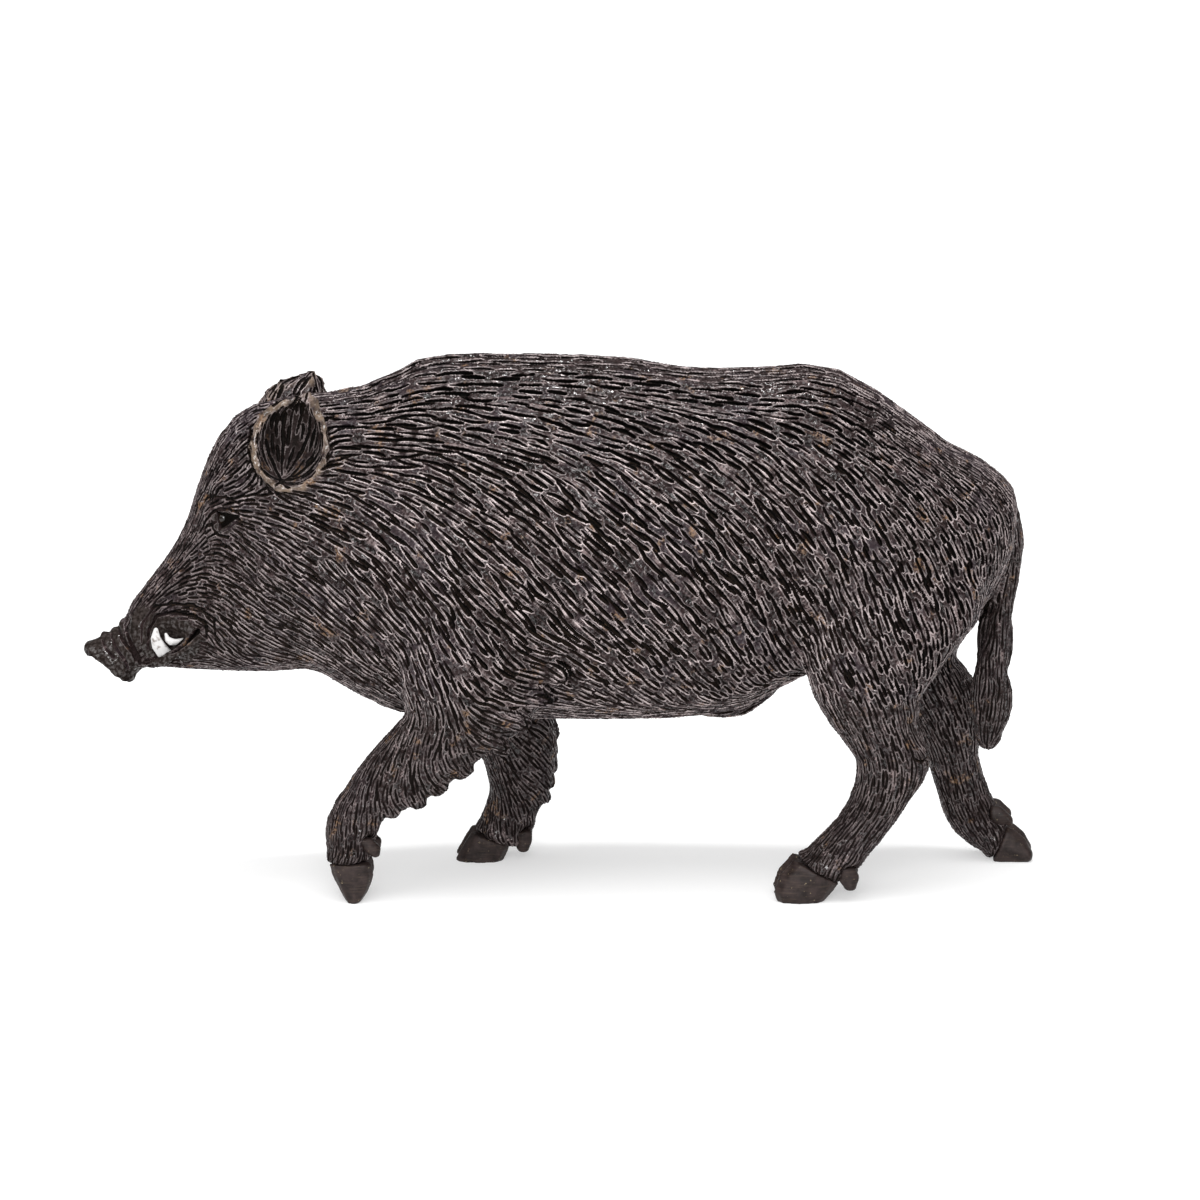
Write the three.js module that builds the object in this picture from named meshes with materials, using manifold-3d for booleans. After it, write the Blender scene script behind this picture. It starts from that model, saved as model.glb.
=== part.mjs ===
// A walking wild boar: a moulded toy figure 118 mm long, in millimetres, with +Z up.
// It faces -X, its left side is -Y, and it stands on the floor at Z = 0.
//
// Body and limbs are lofts. A section is two opposite edge points in the XZ plane, such as a leg's
// front and back, with a middle and a half width across the figure. The animal is joined whole and
// then parted by thin cuts into the pieces that a person would name.
import * as THREE from "three";
import { mergeVertices } from "three/addons/utils/BufferGeometryUtils.js";
import Module from "manifold-3d";

const wasm = await Module();
wasm.setup();

// ---- Driving dimensions --------------------------------------------------------------------

const PARTING = 0.3; // width of every gap between two pieces
const BIG = 200; // reaches past the whole figure
const SIDES = { left: -1, right: 1 }; // sign of Y
const LOWER_ROUND = 2.2; // power of every section's lower outline, a little fuller than round

// Rings along, sides round, and the height of the domed ends.
const MESHING = {
  body: { rings: 36, sides: 20, dome: 1.1 },
  limb: { rings: 17, sides: 12, dome: 0.8 },
  claw: { rings: 8, sides: 8, dome: 0.4 },
  dewclaw: { rings: 6, sides: 6, dome: 0.35 },
  snout: { rings: 11, sides: 14, dome: 0.1 },
  sheath: { rings: 10, sides: 8, dome: 0.8 },
  tail: { rings: 16, sides: 8, dome: 0.6 },
  tusk: { rings: 8, sides: 6, dome: 0.25 },
};

// [top edge, bottom edge, half width, height of the widest level from 0 to 1, crown]. The crown is
// the power of the upper outline: 2 is round and less is more ridged.
const BODY = [
  [[-53.4, 35.2], [-51.6, 27.5], 3.8, 0.45, 2.1], // muzzle, behind the snout
  [[-51.2, 38.2], [-47.0, 27.1], 4.7, 0.42, 2.0],
  [[-48.7, 41.5], [-42.6, 26.9], 6.0, 0.42, 1.9], // bridge of the nose
  [[-46.5, 45.4], [-38.6, 26.8], 7.4, 0.42, 1.8],
  [[-44.5, 51.4], [-35.2, 26.8], 8.8, 0.42, 1.8], // brow
  [[-42.2, 56.6], [-32.4, 27.1], 10.0, 0.42, 1.8],
  [[-38.8, 60.2], [-29.9, 26.8], 10.9, 0.43, 1.8], // poll
  [[-33.6, 61.6], [-27.2, 25.3], 11.8, 0.44, 1.8],
  [[-28.0, 62.3], [-24.2, 23.5], 12.7, 0.45, 1.8], // neck
  [[-22.5, 63.6], [-21.0, 22.0], 13.7, 0.46, 1.8],
  [[-17.4, 66.3], [-17.3, 21.2], 14.8, 0.46, 1.8], // shoulder
  [[-11.5, 67.0], [-12.0, 20.9], 15.6, 0.46, 1.8], // withers
  [[-2.0, 67.0], [-3.0, 20.8], 16.1, 0.46, 1.9],
  [[8.0, 66.6], [7.0, 20.8], 16.2, 0.46, 1.9], // barrel
  [[17.0, 65.2], [16.0, 21.0], 15.8, 0.47, 2.0],
  [[25.0, 65.3], [23.5, 22.4], 15.2, 0.48, 2.0], // loin
  [[33.0, 65.6], [30.0, 26.0], 14.9, 0.5, 2.0],
  [[40.8, 61.7], [37.0, 28.5], 14.4, 0.5, 2.0], // croup
  [[47.8, 56.3], [44.5, 29.5], 13.0, 0.5, 2.0],
  [[54.2, 52.8], [51.0, 32.5], 10.4, 0.5, 2.0],
  [[56.8, 50.0], [55.0, 38.5], 6.6, 0.5, 2.0], // root of the tail
];

// [front edge, back edge, middle across, half width] for everything below. A middle counts
// outwards from the figure's middle on a paired piece.
const LIMBS = {
  foreleg_left: [
    [[-15.7, 51.2], [-1.6, 48.7], 6.0, 6.0], // shoulder blade
    [[-19.7, 40.2], [-0.2, 36.4], 8.6, 7.2],
    [[-20.7, 30.7], [-0.6, 27.2], 9.2, 7.0],
    [[-18.9, 23.7], [-3.2, 22.2], 9.4, 6.2], // elbow
    [[-20.9, 21.1], [-9.9, 17.4], 9.7, 5.4],
    [[-23.2, 18.7], [-14.1, 14.0], 10.0, 4.7],
    [[-25.2, 16.0], [-18.2, 11.6], 10.2, 4.1],
    [[-27.6, 12.4], [-21.6, 10.1], 10.4, 3.7], // knee
    [[-28.8, 9.6], [-22.5, 8.3], 10.5, 3.4],
    [[-28.8, 6.7], [-23.4, 6.3], 10.5, 3.3],
    [[-28.4, 3.9], [-23.8, 3.6], 10.5, 3.4], // fetlock
  ],
  foreleg_right: [
    [[-15.7, 51.2], [-1.6, 48.7], 6.0, 6.0], // shoulder blade
    [[-19.7, 40.2], [-0.2, 36.4], 8.6, 7.2],
    [[-18.6, 29.5], [-0.5, 27.0], 9.2, 7.0],
    [[-14.2, 21.5], [-0.4, 20.4], 9.4, 6.2], // elbow
    [[-11.0, 16.1], [-0.2, 15.2], 9.7, 5.2],
    [[-9.2, 11.8], [-0.6, 10.8], 10.0, 4.5],
    [[-8.8, 8.7], [-1.3, 8.0], 10.2, 3.9], // knee
    [[-9.6, 6.1], [-2.6, 5.9], 10.4, 3.5],
    [[-10.8, 3.0], [-3.8, 2.2], 10.5, 3.4], // fetlock
  ],
  hindleg_left: [
    [[31.1, 47.7], [52.8, 44.5], 5.0, 6.2], // hip
    [[29.3, 37.6], [53.6, 37.3], 7.9, 7.2],
    [[29.9, 30.7], [49.1, 31.1], 9.0, 6.6], // ham
    [[32.4, 24.1], [44.9, 24.4], 9.4, 5.6],
    [[35.3, 20.2], [45.4, 20.6], 9.8, 4.6],
    [[37.2, 17.1], [46.6, 16.8], 10.0, 4.1], // hock
    [[36.5, 13.4], [44.4, 13.3], 10.2, 3.7],
    [[34.7, 10.1], [42.0, 9.6], 10.4, 3.5],
    [[32.2, 7.6], [39.6, 6.5], 10.5, 3.5],
    [[29.2, 4.6], [35.8, 2.2], 10.5, 3.6], // fetlock
  ],
  hindleg_right: [
    [[31.5, 47.7], [53.0, 44.5], 5.0, 6.2], // hip
    [[31.0, 36.6], [54.1, 36.0], 7.9, 7.2],
    [[37.8, 27.5], [50.2, 27.2], 9.0, 6.2], // ham
    [[42.8, 20.7], [53.7, 21.7], 9.4, 5.2],
    [[45.8, 15.7], [53.8, 17.2], 9.8, 4.4], // hock
    [[47.1, 11.8], [53.3, 13.2], 10.0, 3.9],
    [[48.2, 8.2], [54.4, 9.8], 10.2, 3.5],
    [[49.3, 4.9], [55.3, 7.4], 10.4, 3.4],
    [[51.3, 2.4], [56.1, 5.6], 10.5, 3.5],
    [[55.0, 0.0], [57.3, 4.3], 10.5, 3.6], // fetlock
  ],
};

// Where each foot's flesh ends and its claws start: a point and the line's angle above +X, with the
// claws to its right. They taper from the coronet to the tip, and the dewclaws stand behind.
const FEET = {
  foreleg_left: {
    coronet: { at: [-26.1, 5.2], angle: 2 },
    claw: [
      [[-28.6, 7.0], [-23.6, 6.8]],
      [[-28.4, 4.6], [-22.9, 4.4]],
      [[-27.6, 1.9], [-22.8, 2.2]],
      [[-26.5, -0.8], [-24.0, -0.8]],
    ],
    dewclaw: [
      [[-25.2, 8.4], [-23.0, 8.4]],
      [[-24.3, 6.8], [-22.2, 6.9]],
      [[-23.3, 5.5], [-22.4, 5.5]],
    ],
  },
  foreleg_right: {
    coronet: { at: [-8.2, 3.1], angle: -20 },
    claw: [
      [[-10.2, 5.6], [-5.2, 4.4]],
      [[-11.3, 3.3], [-5.9, 2.4]],
      [[-12.8, 1.0], [-6.6, 0.7]],
      [[-13.3, -1.0], [-7.4, -1.0]],
    ],
    dewclaw: [
      [[-5.6, 4.2], [-3.5, 4.4]],
      [[-5.5, 2.5], [-3.5, 2.6]],
      [[-5.0, 0.8], [-3.9, 0.9]],
    ],
  },
  hindleg_left: {
    coronet: { at: [32.6, 4.0], angle: -27 },
    claw: [
      [[31.4, 7.4], [36.4, 4.4]],
      [[28.6, 4.6], [35.0, 2.2]],
      [[26.8, 2.0], [33.8, 0.6]],
      [[27.6, -1.0], [32.2, -1.0]],
    ],
    dewclaw: [
      [[34.6, 4.6], [36.9, 5.0]],
      [[35.1, 2.7], [37.3, 3.2]],
      [[35.8, 1.0], [36.9, 1.2]],
    ],
  },
  hindleg_right: {
    coronet: { at: [55.7, 2.2], angle: 68 },
    claw: [
      [[52.3, 0.8], [54.9, 5.4]],
      [[54.7, -0.4], [56.8, 4.6]],
      [[57.5, -0.8], [58.9, 3.4]],
      [[59.6, -0.2], [60.1, 1.4]],
    ],
    dewclaw: [
      [[54.6, 4.8], [54.4, 7.0]],
      [[56.5, 4.9], [56.2, 6.8]],
      [[58.1, 4.9], [58.0, 5.8]],
    ],
  },
};
const PAIR = { inner: -1, outer: 1 }; // each foot's two claws and two dewclaws
const CLAW = { half: 1.62, middle: 10.5, spread: 1.82 };
const DEWCLAW = { half: 0.85, middle: 10.5, spread: 2.0 };

const SNOUT = [
  [[-52.2, 36.0], [-50.0, 27.6], 0, 3.7],
  [[-54.2, 33.4], [-52.0, 27.0], 0, 3.5],
  [[-55.2, 32.0], [-52.8, 26.8], 0, 3.1], // waist behind the disc
  [[-56.6, 31.3], [-53.2, 26.2], 0, 3.4],
  [[-59.3, 30.0], [-53.4, 25.2], 0, 3.7], // rim of the disc
];
const NOSTRIL = { radius: 0.7, depth: 1.2, middle: 1.45, at: [-56.4, 27.6], slope: 51 };

const SHEATH = [
  [[14.5, 23.8], [15.5, 21.4], 0, 1.5],
  [[18.8, 23.2], [19.4, 20.7], 0, 2.0],
  [[23.2, 24.0], [23.6, 21.0], 0, 2.1],
  [[26.6, 26.4], [27.2, 23.8], 0, 1.6],
];

const TAIL = [
  [[56.4, 50.6], [53.0, 47.2], 0, 2.4],
  [[58.2, 45.0], [54.8, 43.6], 0, 2.1],
  [[57.8, 38.9], [54.9, 38.4], 0, 1.8],
  [[56.8, 33.4], [53.6, 33.2], -0.2, 1.8],
  [[56.4, 28.8], [52.4, 28.5], -0.4, 2.0],
  [[56.4, 24.9], [51.8, 24.6], -0.5, 2.2], // tassel
  [[56.6, 21.9], [51.9, 21.4], -0.5, 2.1],
  [[55.8, 18.9], [52.4, 18.5], -0.5, 1.6],
  [[54.5, 17.4], [53.2, 17.1], -0.5, 0.9],
];

// An ear is a cup that opens sideways, with an oval rim that rises to one corner.
const EAR = {
  centre: [-33.0, 8.9, 57.0],
  halfLength: 5.1,
  halfHeight: 6.0,
  depth: 3.6,
  wall: 1.0,
  tip: { angle: 64, spread: 17, rise: 1.6 },
  lean: 15, // degrees of the rim's plane towards the middle of the head
  open: 4, // degrees that the cup turns forwards
};
const EYE = { centre: [-42.4, 4.8, 47.6], radius: 1.25 };

const TUSKS = {
  tusk_lower: [
    [[-48.6, 27.8], [-47.2, 28.6], 3.9, 0.75],
    [[-49.9, 29.9], [-48.3, 30.5], 4.9, 0.8],
    [[-50.4, 31.6], [-49.1, 31.7], 5.3, 0.65],
    [[-50.0, 33.1], [-49.5, 33.0], 5.1, 0.35],
  ],
  tusk_upper: [
    [[-46.9, 31.4], [-46.1, 32.2], 4.2, 0.6],
    [[-47.7, 31.0], [-46.9, 31.9], 5.2, 0.6],
    [[-48.7, 31.4], [-48.1, 32.1], 5.7, 0.5],
    [[-48.9, 32.4], [-48.5, 32.6], 5.5, 0.35],
  ],
};
// The lifted lip round the tusks: an oval dent in the side of the muzzle.
const LIP = { centre: [-48.6, 6.0, 31.6], half: [2.7, 1.9, 2.3] };

// The lower jaw's parting: the mouth line from the lip to its corner, then the angle of the jaw.
const JAW = [
  [-54.4, 27.2],
  [-44.2, 32.9],
  [-38.5, 31.9],
  [-32.6, 30.2],
  [-31.4, 24.0],
];

// A cut of a given length has its middle at a point of the XZ plane and runs at an angle above +X.
const CUTS = [
  { at: [-53.0, 30.9], angle: 116, length: 14 }, // snout
  { at: [-31.6, 44.0], angle: 104, length: 44 }, // head and neck
  { at: [-21.0, 44.0], angle: 86, length: 50 }, // neck and trunk
  { at: [28.8, 44.0], angle: 91, length: 46 }, // trunk and hindquarters
  { at: [-23.1, 12.7], angle: -27, length: 14, leg: "left" }, // knees
  { at: [-5.0, 8.6], angle: -6, length: 16, leg: "right" },
  { at: [41.0, 14.8], angle: 10, length: 16, leg: "left" }, // hocks
  { at: [49.8, 14.6], angle: 16, length: 16, leg: "right" },
];
const LEG_CUT = { inner: 4, outer: 18 }; // a cut through one leg spans only this far from the middle
// Legs part from the trunk on planes that rise outwards, just under the belly.
const LEG_TOPS = [
  { from: -40, to: 4.5, level: 19.2, rise: 0.43 },
  { from: 29.6, to: 70, level: 24.9, rise: 0.1 },
];
const LEG_TOP_INNER = 1.5; // the planes start this far from the middle
const TASSEL_TOP = 27.4;

// A point inside each piece of the parted flesh.
const FLESH = {
  snout: [-56.0, 0, 29.0],
  lower_jaw: [-42.0, 0, 28.6],
  head: [-40.0, 0, 45.0],
  neck: [-25.0, 0, 44.0],
  trunk: [5.0, 0, 44.0],
  hindquarters: [40.0, 0, 44.0],
  foreleg_left_upper: [-17.0, -9.8, 17.6],
  foreleg_left_lower: [-26.0, -10.4, 8.6],
  foreleg_right_upper: [-5.2, 9.8, 14.0],
  foreleg_right_lower: [-6.4, 10.4, 6.0],
  hindleg_left_upper: [40.0, -9.6, 20.0],
  hindleg_left_lower: [38.4, -10.4, 9.0],
  hindleg_right_upper: [48.6, 9.4, 20.0],
  hindleg_right_lower: [51.2, 10.4, 8.0],
};

// ---- Finishes ------------------------------------------------------------------------------

const FINISHES = {
  hide: { color: 0x3d3635, roughness: 0.55, metalness: 0 },
  hoof: { color: 0x3a302d, roughness: 0.6, metalness: 0 },
  tusk: { color: 0xdedddb, roughness: 0.45, metalness: 0 },
  eye: { color: 0x0d0b0a, roughness: 0.15, metalness: 0 },
};

// ---- Making solids -------------------------------------------------------------------------

// A closed three.js geometry as a solid, turned outwards if need be.
function solid(geometry) {
  const bare = geometry.clone();
  bare.deleteAttribute("normal");
  bare.deleteAttribute("uv");
  const merged = mergeVertices(bare, 1e-4);
  const vertProperties = new Float32Array(merged.attributes.position.array);
  const triVerts = new Uint32Array(merged.index.array);
  const made = new wasm.Manifold(new wasm.Mesh({ numProp: 3, vertProperties, triVerts }));
  if (made.volume() > 0) return made;
  triVerts.reverse();
  return new wasm.Manifold(new wasm.Mesh({ numProp: 3, vertProperties, triVerts }));
}

const signedPower = (value, power) => Math.sign(value) * Math.abs(value) ** power;

// A smooth closed tube through the sections, made from a sphere whose poles are its two ends.
// Growing it moves its whole surface outwards.
function loft(sections, { rings, sides, dome = 1, grow = 0 }) {
  const edge = (name) =>
    new THREE.CatmullRomCurve3(sections.map((s) => new THREE.Vector3(s[name][0], s.middle, s[name][1])));
  const upperEdge = edge("upper");
  const lowerEdge = edge("lower");
  const form = new THREE.CatmullRomCurve3(
    sections.map((s) => new THREE.Vector3(s.half, s.widest ?? 0.5, s.crown ?? 2))
  );
  const domeShare = 2 / rings; // part of the rings in each domed end
  const geometry = new THREE.SphereGeometry(1, sides, rings);
  const place = geometry.attributes.position;
  for (let i = 0; i < place.count; i++) {
    const fraction = Math.acos(THREE.MathUtils.clamp(place.getY(i), -1, 1)) / Math.PI;
    const round = Math.atan2(place.getZ(i), place.getX(i));
    const t = THREE.MathUtils.clamp((fraction - domeShare) / (1 - 2 * domeShare), 0, 1);
    const upper = upperEdge.getPoint(t);
    const lower = lowerEdge.getPoint(t);
    const { x: half, y: widest, z: crown } = form.getPoint(t);
    const across = upper.clone().sub(lower).normalize();
    upper.addScaledVector(across, grow);
    lower.addScaledVector(across, -grow);

    // Domed ends: the section shrinks round its middle while it moves past the last section.
    const inDome = Math.min(fraction, 1 - fraction, domeShare) / domeShare;
    const swell = Math.sin((inDome * Math.PI) / 2);
    const past = Math.cos((inDome * Math.PI) / 2) * (dome + grow);
    const before = Math.max(t - 0.01, 0);
    const after = Math.min(t + 0.01, 1);
    const travel = upperEdge.getPoint(after).add(lowerEdge.getPoint(after));
    travel.sub(upperEdge.getPoint(before)).sub(lowerEdge.getPoint(before));
    const along = new THREE.Vector3(across.z, 0, -across.x);
    if (along.dot(travel) < 0) along.negate();
    if (fraction < 0.5) along.negate();

    const high = Math.sin(round) > 0;
    const power = 2 / (high ? crown : LOWER_ROUND);
    const level = lower.clone().lerp(upper, widest);
    const point = level.clone().lerp(high ? upper : lower, Math.abs(Math.sin(round)) ** power * swell);
    point.y += (half + grow) * signedPower(Math.cos(round), power) * swell;
    point.addScaledVector(along, past);
    place.setXYZ(i, point.x, point.y, point.z);
  }
  return solid(geometry);
}

const bodySections = BODY.map(([upper, lower, half, widest, crown]) => ({
  upper, lower, half, widest, crown, middle: 0,
}));
const sectionsOf = (rows, side = 1) =>
  rows.map(([upper, lower, middle, half]) => ({ upper, lower, middle: middle * side, half }));
const clawSections = (rows, middle, half) => rows.map(([upper, lower]) => ({ upper, lower, middle, half }));

// A box placed by its middle and turned about Y, then X.
function block(size, at, { turnY = 0, turnX = 0 } = {}) {
  const geometry = new THREE.BoxGeometry(...size);
  geometry.rotateY(THREE.MathUtils.degToRad(turnY));
  geometry.rotateX(THREE.MathUtils.degToRad(turnX));
  geometry.translate(...at);
  return solid(geometry);
}

// A thin cut through a point of the XZ plane, right across or through one leg only.
function cutter({ at, angle, length, leg }) {
  const width = leg ? LEG_CUT.outer - LEG_CUT.inner : BIG;
  const middle = leg ? (SIDES[leg] * (LEG_CUT.outer + LEG_CUT.inner)) / 2 : 0;
  return block([length, width, PARTING], [at[0], middle, at[1]], { turnY: -angle });
}

// All the space on one side of a line in the XZ plane, starting a small distance from it.
function halfSpace({ at, angle }, side, away = 0) {
  const tilt = THREE.MathUtils.degToRad(angle);
  const reach = side * (BIG / 2 + away);
  const middle = [at[0] - Math.sin(tilt) * reach, 0, at[1] + Math.cos(tilt) * reach];
  return block([BIG, BIG, BIG], middle, { turnY: -angle });
}

function legTopCutter({ from, to, level, rise }, side) {
  const width = BIG / 4;
  const tilt = Math.atan(rise);
  const across = LEG_TOP_INNER + (width / 2) * Math.cos(tilt);
  const height = level + (width / 2) * Math.sin(tilt);
  const turnX = THREE.MathUtils.radToDeg(tilt) * side;
  return block([to - from, width, PARTING], [(from + to) / 2, across * side, height], { turnX });
}

// ---- Pieces --------------------------------------------------------------------------------

const figure = new THREE.Group();
const materials = Object.fromEntries(
  Object.entries(FINISHES).map(([name, finish]) => [name, new THREE.MeshStandardMaterial(finish)])
);

function addPiece(name, made, finish) {
  const { vertProperties, triVerts } = made.getMesh();
  const geometry = new THREE.BufferGeometry();
  geometry.setAttribute("position", new THREE.BufferAttribute(new Float32Array(vertProperties), 3));
  geometry.setIndex(new THREE.BufferAttribute(new Uint32Array(triVerts), 1));
  geometry.computeVertexNormals();
  const mesh = new THREE.Mesh(geometry, materials[finish]);
  mesh.name = name;
  figure.add(mesh);
}

const body = (grow = 0) => loft(bodySections, { ...MESHING.body, grow });

const floor = block([BIG, BIG, BIG], [0, 0, -BIG / 2]);

function makeClaws(leg, side) {
  const { coronet, claw } = FEET[leg];
  for (const [place, sign] of Object.entries(PAIR)) {
    const middle = side * (CLAW.middle + sign * CLAW.spread);
    const whole = loft(clawSections(claw, middle, CLAW.half), MESHING.claw);
    const flesh = halfSpace(coronet, 1, -PARTING);
    addPiece(`${leg}_claw_${place}`, whole.subtract(flesh).subtract(floor), "hoof");
  }
}

function makeDewclaws(leg, side) {
  const sockets = [];
  for (const [place, sign] of Object.entries(PAIR)) {
    const middle = side * (DEWCLAW.middle + sign * DEWCLAW.spread);
    const sections = clawSections(FEET[leg].dewclaw, middle, DEWCLAW.half);
    addPiece(`${leg}_dewclaw_${place}`, loft(sections, MESHING.dewclaw), "hoof");
    sockets.push(loft(sections, { ...MESHING.dewclaw, grow: PARTING }));
  }
  return sockets;
}

// The cup of an ear, or the solid space that it fills in the head when it is grown.
function earForm(side, { wall = 0, grow = 0, rim = 0 }) {
  const geometry = new THREE.SphereGeometry(1, 16, 8);
  const place = geometry.attributes.position;
  for (let i = 0; i < place.count; i++) {
    const [x, y, z] = [place.getX(i), place.getY(i), place.getZ(i)];
    const degrees = THREE.MathUtils.radToDeg(Math.atan2(z, x));
    const fromTip = (degrees - EAR.tip.angle) / EAR.tip.spread;
    const rise = 1 + (EAR.tip.rise / EAR.halfHeight) * Math.exp(-fromTip * fromTip);
    const reachX = (EAR.halfLength - wall + grow) * rise;
    const reachZ = (EAR.halfHeight - wall + grow) * rise;
    const depth = y < 0 ? EAR.depth - wall + grow : rim; // y < 0 is towards the head
    place.setXYZ(i, x * reachX, side * y * depth, z * reachZ);
  }
  geometry.rotateX(THREE.MathUtils.degToRad(EAR.lean * side));
  geometry.rotateZ(THREE.MathUtils.degToRad(EAR.open * side));
  geometry.translate(EAR.centre[0], EAR.centre[1] * side, EAR.centre[2]);
  return solid(geometry);
}

function makeEar(name, side) {
  const cup = earForm(side, { rim: 0.2 }).subtract(earForm(side, { wall: EAR.wall, rim: 1.5 }));
  addPiece(`ear_${name}`, cup, "hide");
  return earForm(side, { grow: PARTING, rim: 0.6 });
}

function makeEye(name, side) {
  const ball = (radius) => {
    const geometry = new THREE.SphereGeometry(radius, 10, 6);
    geometry.translate(EYE.centre[0], EYE.centre[1] * side, EYE.centre[2]);
    return solid(geometry);
  };
  addPiece(`eye_${name}`, ball(EYE.radius), "eye");
  return ball(EYE.radius + PARTING);
}

function makeTusks(name, side) {
  return Object.entries(TUSKS).map(([tusk, rows]) => {
    const sections = sectionsOf(rows, side);
    addPiece(`${tusk}_${name}`, loft(sections, MESHING.tusk), "tusk");
    return loft(sections, { ...MESHING.tusk, grow: PARTING });
  });
}

function lipDent(side) {
  const geometry = new THREE.SphereGeometry(1, 12, 8);
  geometry.scale(...LIP.half);
  geometry.translate(LIP.centre[0], LIP.centre[1] * side, LIP.centre[2]);
  return solid(geometry);
}

function nostril(side) {
  const geometry = new THREE.CylinderGeometry(NOSTRIL.radius, NOSTRIL.radius, 2 * NOSTRIL.depth, 8);
  geometry.rotateX(Math.PI / 2);
  geometry.rotateY(THREE.MathUtils.degToRad(90 - NOSTRIL.slope));
  geometry.translate(NOSTRIL.at[0], NOSTRIL.middle * side, NOSTRIL.at[1]);
  return solid(geometry);
}

// Thin walls right across the figure, one along each stretch of the jaw's parting.
function jawCutters() {
  return JAW.slice(1).map((end, i) => {
    const start = new THREE.Vector2(...JAW[i]);
    const run = new THREE.Vector2(...end).sub(start);
    const middle = start.addScaledVector(run, 0.5);
    const turnY = THREE.MathUtils.radToDeg(-run.angle());
    return block([run.length() + PARTING, BIG, PARTING], [middle.x, 0, middle.y], { turnY });
  });
}

const largest = (made) => made.decompose().reduce((a, b) => (a.volume() > b.volume() ? a : b));

// The tail hangs from the body's end: what of it lies inside the body is left out.
function makeTail() {
  const whole = largest(loft(sectionsOf(TAIL), MESHING.tail).subtract(body(PARTING)));
  const level = { at: [0, TASSEL_TOP], angle: 0 };
  addPiece("tail", whole.subtract(halfSpace(level, -1)), "hide");
  addPiece("tail_tassel", whole.subtract(halfSpace(level, 1, -PARTING)), "hide");
}

function makeFlesh(hollows) {
  let flesh = body();
  for (const [leg, rows] of Object.entries(LIMBS)) {
    const limb = loft(sectionsOf(rows, sideOf(leg)), MESHING.limb);
    flesh = flesh.add(limb.subtract(halfSpace(FEET[leg].coronet, -1)));
  }
  flesh = flesh.add(loft(sectionsOf(SNOUT), MESHING.snout));
  flesh = flesh.add(loft(sectionsOf(SHEATH), MESHING.sheath));
  for (const hollow of hollows) flesh = flesh.subtract(hollow);
  return flesh;
}

// Parts the flesh by all the cuts and names each piece by the point that it holds.
function makeParts(flesh) {
  const cutters = [...CUTS.map(cutter), ...jawCutters()];
  for (const top of LEG_TOPS) {
    for (const side of Object.values(SIDES)) cutters.push(legTopCutter(top, side));
  }
  const parted = cutters.reduce((rest, cut) => rest.subtract(cut), flesh);
  const pieces = parted.decompose();
  for (const [name, at] of Object.entries(FLESH)) {
    const probe = block([PARTING, PARTING, PARTING], at);
    const holder = pieces.find((piece) => piece.intersect(probe).volume() > 0);
    if (!holder) throw new Error(`no piece holds the point of ${name}`);
    addPiece(name, holder, "hide");
  }
}

const sideOf = (leg) => SIDES[leg.split("_")[1]];

const hollows = []; // everything that is cut out of the flesh
for (const [name, side] of Object.entries(SIDES)) {
  hollows.push(makeEar(name, side), makeEye(name, side), ...makeTusks(name, side));
  hollows.push(lipDent(side), nostril(side));
}
for (const leg of Object.keys(LIMBS)) {
  makeClaws(leg, sideOf(leg));
  hollows.push(...makeDewclaws(leg, sideOf(leg)));
}
makeTail();
makeParts(makeFlesh(hollows));

// The origin is the middle of the figure's box on the floor.
const box = new THREE.Box3().setFromObject(figure);
const boxMiddle = box.getCenter(new THREE.Vector3());
figure.position.set(-boxMiddle.x, -boxMiddle.y, -box.min.z);

export default figure;
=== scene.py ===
import math

import bmesh
import bpy
import numpy as np
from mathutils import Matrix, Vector
from mathutils.bvhtree import BVHTree
from mathutils.kdtree import KDTree


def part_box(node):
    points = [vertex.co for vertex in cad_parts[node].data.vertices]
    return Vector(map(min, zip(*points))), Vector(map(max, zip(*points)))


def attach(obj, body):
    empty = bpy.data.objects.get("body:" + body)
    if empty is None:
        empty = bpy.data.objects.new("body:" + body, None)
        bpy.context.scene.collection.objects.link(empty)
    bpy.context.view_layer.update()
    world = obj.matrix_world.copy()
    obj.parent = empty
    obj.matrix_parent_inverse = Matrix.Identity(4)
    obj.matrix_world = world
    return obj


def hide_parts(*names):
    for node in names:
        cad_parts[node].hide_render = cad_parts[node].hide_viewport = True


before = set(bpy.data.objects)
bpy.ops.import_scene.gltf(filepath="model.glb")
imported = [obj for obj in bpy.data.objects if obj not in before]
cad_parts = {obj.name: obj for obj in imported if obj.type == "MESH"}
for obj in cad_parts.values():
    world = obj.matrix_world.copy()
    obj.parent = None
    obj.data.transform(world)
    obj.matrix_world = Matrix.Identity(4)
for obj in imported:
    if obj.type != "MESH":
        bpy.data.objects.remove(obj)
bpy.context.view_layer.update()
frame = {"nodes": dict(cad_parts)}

# A walking wild boar, a moulded and painted toy figure. Shapes are worked in millimetres and set
# down in metres. The figure faces -X and its left side is -Y. The hide is carved as the mould was:
# a smooth body, a direction for the hair at every point, and short tapering grooves cut along it.

MM = 0.001
SEED = 11
VOXEL = 0.35  # spacing of the smooth body's points
RELAXING = (0.5, -0.52)  # shares of the way in and back out in a round of smoothing
GROWTH = 0.35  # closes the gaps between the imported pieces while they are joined

SIDES = {"left": -1, "right": 1}
LEGS = ["foreleg_left", "foreleg_right", "hindleg_left", "hindleg_right"]
FLESH = ["head", "lower_jaw", "snout", "ear_left", "ear_right", "neck", "trunk", "hindquarters",
         "tail", "tail_tassel"] + [f"{leg}_{end}" for leg in LEGS for end in ("upper", "lower")]

# ---- Meshes as arrays ----


def lengths(vectors):
    """The length of every row."""
    return np.sqrt((vectors ** 2).sum(axis=-1))


def unit(vectors):
    """Every row scaled to length 1."""
    return vectors / np.maximum(lengths(vectors), 1e-9)[..., None]


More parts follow.
